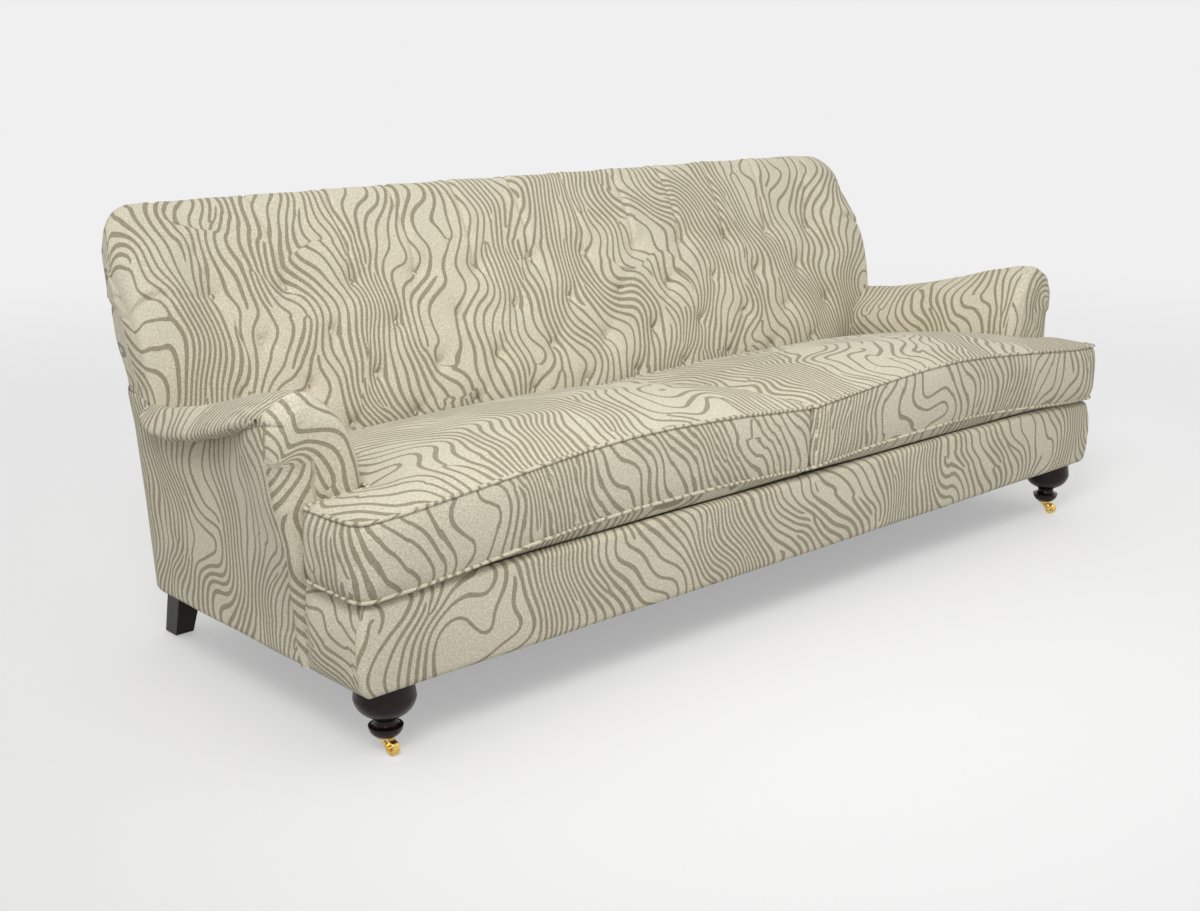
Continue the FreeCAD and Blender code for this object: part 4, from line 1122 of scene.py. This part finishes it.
def blow_up(piece, pinned, pressure=5.0, cap=0.026):
    rest = coordinates(piece.data).copy()
    group = piece.vertex_groups.new(name="seams")
    group.add([int(i) for i in np.nonzero(pinned)[0]], 1.0, "REPLACE")
    cloth = piece.modifiers.new("cloth", "CLOTH")
    s = cloth.settings
    s.quality = 5
    s.mass = 0.25
    s.tension_stiffness = s.compression_stiffness = 6
    s.shear_stiffness = 3
    s.bending_stiffness = 0.25
    s.use_pressure = True
    s.uniform_pressure_force = pressure
    s.vertex_group_mass = "seams"
    s.effector_weights.gravity = 0
    cloth.collision_settings.use_collision = False
    cloth.collision_settings.use_self_collision = False
    scene = bpy.context.scene
    for f in range(1, 21):
        scene.frame_set(f)
    done = piece.evaluated_get(bpy.context.evaluated_depsgraph_get())
    blown = coordinates(done.data).copy()
    piece.modifiers.clear()
    scene.frame_set(1)
    move = blown - rest
    size = np.linalg.norm(move, axis=1)
    limit = cap * np.tanh(size / cap) / np.maximum(size, 1e-9)
    return rest + move * limit[:, None], size.max()


# %% [markdown]
# ### Fitting
# The crown, the swollen band and the limits that keep a cushion clear of what lies beside it.

# %% Fitting
held_near_seam, band_rim = 0.0065, 0.020
gap_x, arm_side_x, wing_rear_y = 0.0006, 0.9745, 0.1545


def crowned(p, seed, fullness):
    """Bows the seams, crowns the top and lays the underside on the border and the deck."""
    share = (p[:, 2] - seam_low) / (seam_high - seam_low)
    x, y = p[:, 0], p[:, 1]
    inside = distance_to(on_plan(p), on_plan(cushion_outline(0.0, 0.006)))
    dome = (1 - (1 - np.clip(inside / 0.26, 0, 1)) ** 2.6) ** 0.9
    p[:, 2] += arch(x, y, share)
    p[:, 2] += np.where(share > 0.9, fullness * dome, 0)
    below = ease(inside, 0.0, 0.012) * (share < 0.1)
    p[:, 2] = p[:, 2] * (1 - below) + resting_height(x, y) * below
    p[:, 2] += np.where(share > 0.9, 0.003 * np.sin(7 * x + seed) * np.sin(9 * y + seed) * dome, 0)
    return share


def swollen_band(p, share, start_x):
    """The band stands out between its seams, most at the wing's end."""
    rim, flat = on_plan(cushion_outline(band_rim, 0.004)), on_plan(p)
    gap, at = nearest(flat, rim)
    away = (flat - rim[at]) / np.maximum(gap, 1e-6)[:, None]
    swell = (1 - (2 * np.clip(share, 0, 1) - 1) ** 4) * ease(gap, 0.010, 0.018)
    swell *= 0.005 + 0.005 * ease(start_x, 0.95, 1.08)
    return p + away * swell[:, None]


def fitted(p, seams, seed):
    """Puckers the cloth at its seams and keeps it clear of arm, border and other cushion."""
    near = distance_to(p, seams)
    pucker = np.sin(p[:, 0] * 190 + 2 * np.sin(p[:, 0] * 23)) * np.sin(p[:, 1] * 170 + seed)
    p[:, 2] += 0.0007 * pucker * np.exp(-(near / 0.03) ** 2) * ease(near, 0.002, 0.010)
    p[:, 0] = np.maximum(p[:, 0], gap_x)
    p[:, 2] = np.maximum(p[:, 2], resting_height(p[:, 0], p[:, 1]))
    behind = p[:, 1] > 0.165
    p[:, 0] = np.where(behind, np.minimum(p[:, 0], arm_side_x), p[:, 0])
    wing = (p[:, 0] > 0.975) & (p[:, 1] > 0.08)
    p[:, 1] = np.where(wing, np.minimum(p[:, 1], wing_rear_y), p[:, 1])


# %% [markdown]
# ### Both cushions
# The two cushions are filled a little differently, so their crowns aren't twins.

# %% Cushions
def make_cushion(side_name, cloth, seed, fullness):
    piece = boxed_start("seat_cushion_" + side_name)
    p = coordinates(piece.data).copy()
    p[:, 1] -= front
    share = crowned(p, seed, fullness)
    start_x = p[:, 0]
    seams = np.vstack([seam_line(True, 0.0, 0.004), seam_line(False, 0.0, 0.004)])
    near = distance_to(p, seams)
    p[:, 1] += front
    set_coordinates(piece.data, p)
    biggest = 0.0
    p, biggest = blow_up(piece, near < held_near_seam)
    p[:, 1] -= front
    p = swollen_band(p, share, start_x)
    fitted(p, seams, seed)
    lay_cushion_cloth(piece.data, p)
    p[:, 1] += front
    if side_name == "left":
        p[:, 0] *= -1
        piece.data.flip_normals()
    set_coordinates(piece.data, p)
    piece.data.materials.clear()
    piece.data.materials.append(cloth)
    piece.data.shade_smooth()
    soften = piece.modifiers.new("soften", "SUBSURF")
    soften.levels = soften.render_levels = 1
    body = "seat_cushion_" + side_name
    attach(piece, body)
    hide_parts("seat_cushion_cover_" + side_name, "seat_cushion_fill_" + side_name)
    for label, line in (("upper", seam_line(True, -0.0012)), ("lower", seam_line(False, -0.0012))):
        line = mirror(line) if side_name == "left" else line
        cord = tube("piping_" + label + "_" + side_name, line, 0.0034, cloth, body,
                    beads=0.035, bead_step=0.0095, closed=True)
        if label == "upper":
            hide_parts("seat_cushion_piping_" + side_name)
    print(side_name, "cushion", len(p), "points, moved up to", round(float(biggest), 4))


make_cushion("right", cloth_seat_right, 5, 0.028)
make_cushion("left", cloth_seat_left, 8, 0.034)

# %% [markdown]
# ## Floor and light
# A pale floor, a pale surround, an even sky and two soft lamps over the front.

# %% Floor and light
bpy.ops.mesh.primitive_plane_add(size=60, location=(0, 0, 0))
floor = bpy.context.object
floor.name = "floor"
floor_finish, tree, shader = new_finish("floor_finish", Roughness=0.9, Specular_IOR_Level=0.1)
place = own_metres(tree)
tone = noise(tree, place, 0.4, 1.0).outputs["Fac"]
colour = blend_colours(tree, tone, (0.55, 0.55, 0.55, 1), (0.57, 0.57, 0.57, 1))
tree.links.new(colour, shader.inputs["Base Color"])


def seen_directly(tree):
    path = put(tree, "ShaderNodeLightPath").outputs
    return sums(tree, "MAXIMUM", path["Is Camera Ray"],
                sums(tree, "MAXIMUM", path["Is Glossy Ray"], path["Is Transmission Ray"]))


shader.inputs["Emission Color"].default_value = (1, 1, 1, 1)
glow = sums(tree, "MULTIPLY", seen_directly(tree), 0.36)
tree.links.new(glow, shader.inputs["Emission Strength"])
distance = put(tree, "ShaderNodeVectorMath", {0: place}, operation="LENGTH").outputs["Value"]
far_off = remap(tree, distance, 2.0, 5.5)
far_off = sums(tree, "MULTIPLY", far_off, seen_directly(tree))
haze = put(tree, "ShaderNodeEmission", {"Color": (0.87, 0.87, 0.87, 1), "Strength": 1.0})
both = put(tree, "ShaderNodeMixShader", {0: far_off, 1: shader.outputs[0], 2: haze.outputs[0]})
tree.links.new(both.outputs[0], tree.nodes["Material Output"].inputs["Surface"])
floor.data.materials.append(floor_finish)

world = bpy.data.worlds.new("world")
bpy.context.scene.world = world
world.use_nodes = True
tree = world.node_tree
light_sky = tree.nodes["Background"]
light_sky.inputs["Color"].default_value = (1.0, 1.0, 1.0, 1)
light_sky.inputs["Strength"].default_value = 0.68
seen_sky = put(tree, "ShaderNodeBackground", {"Color": (0.87, 0.87, 0.87, 1), "Strength": 1.0})
both_skies = put(tree, "ShaderNodeMixShader",
                 {0: seen_directly(tree), 1: light_sky.outputs[0], 2: seen_sky.outputs[0]})
tree.links.new(both_skies.outputs[0], tree.nodes["World Output"].inputs["Surface"])


def lamp(name, place_at, aim, size, power):
    data = bpy.data.lights.new(name, "AREA")
    data.shape, data.size, data.size_y, data.energy = "RECTANGLE", size[0], size[1], power
    made = bpy.data.objects.new(name, data)
    bpy.context.scene.collection.objects.link(made)
    made.location = place_at
    made.rotation_euler = (Vector(aim) - Vector(place_at)).to_track_quat("-Z", "Y").to_euler()
    return made


soft_left = lamp("soft_left", (-2.2, -1.8, 2.6), (0.7, 0.2, 0.45), (1.1, 1.1), 16)
soft_left.data.spread = math.radians(80)
lamp("soft_above", (0.1, -2.3, 2.7), (0.05, 0.28, 0.60), (2.8, 1.0), 4.0)
bpy.context.scene.view_settings.view_transform = "Standard"
print("lights 2")
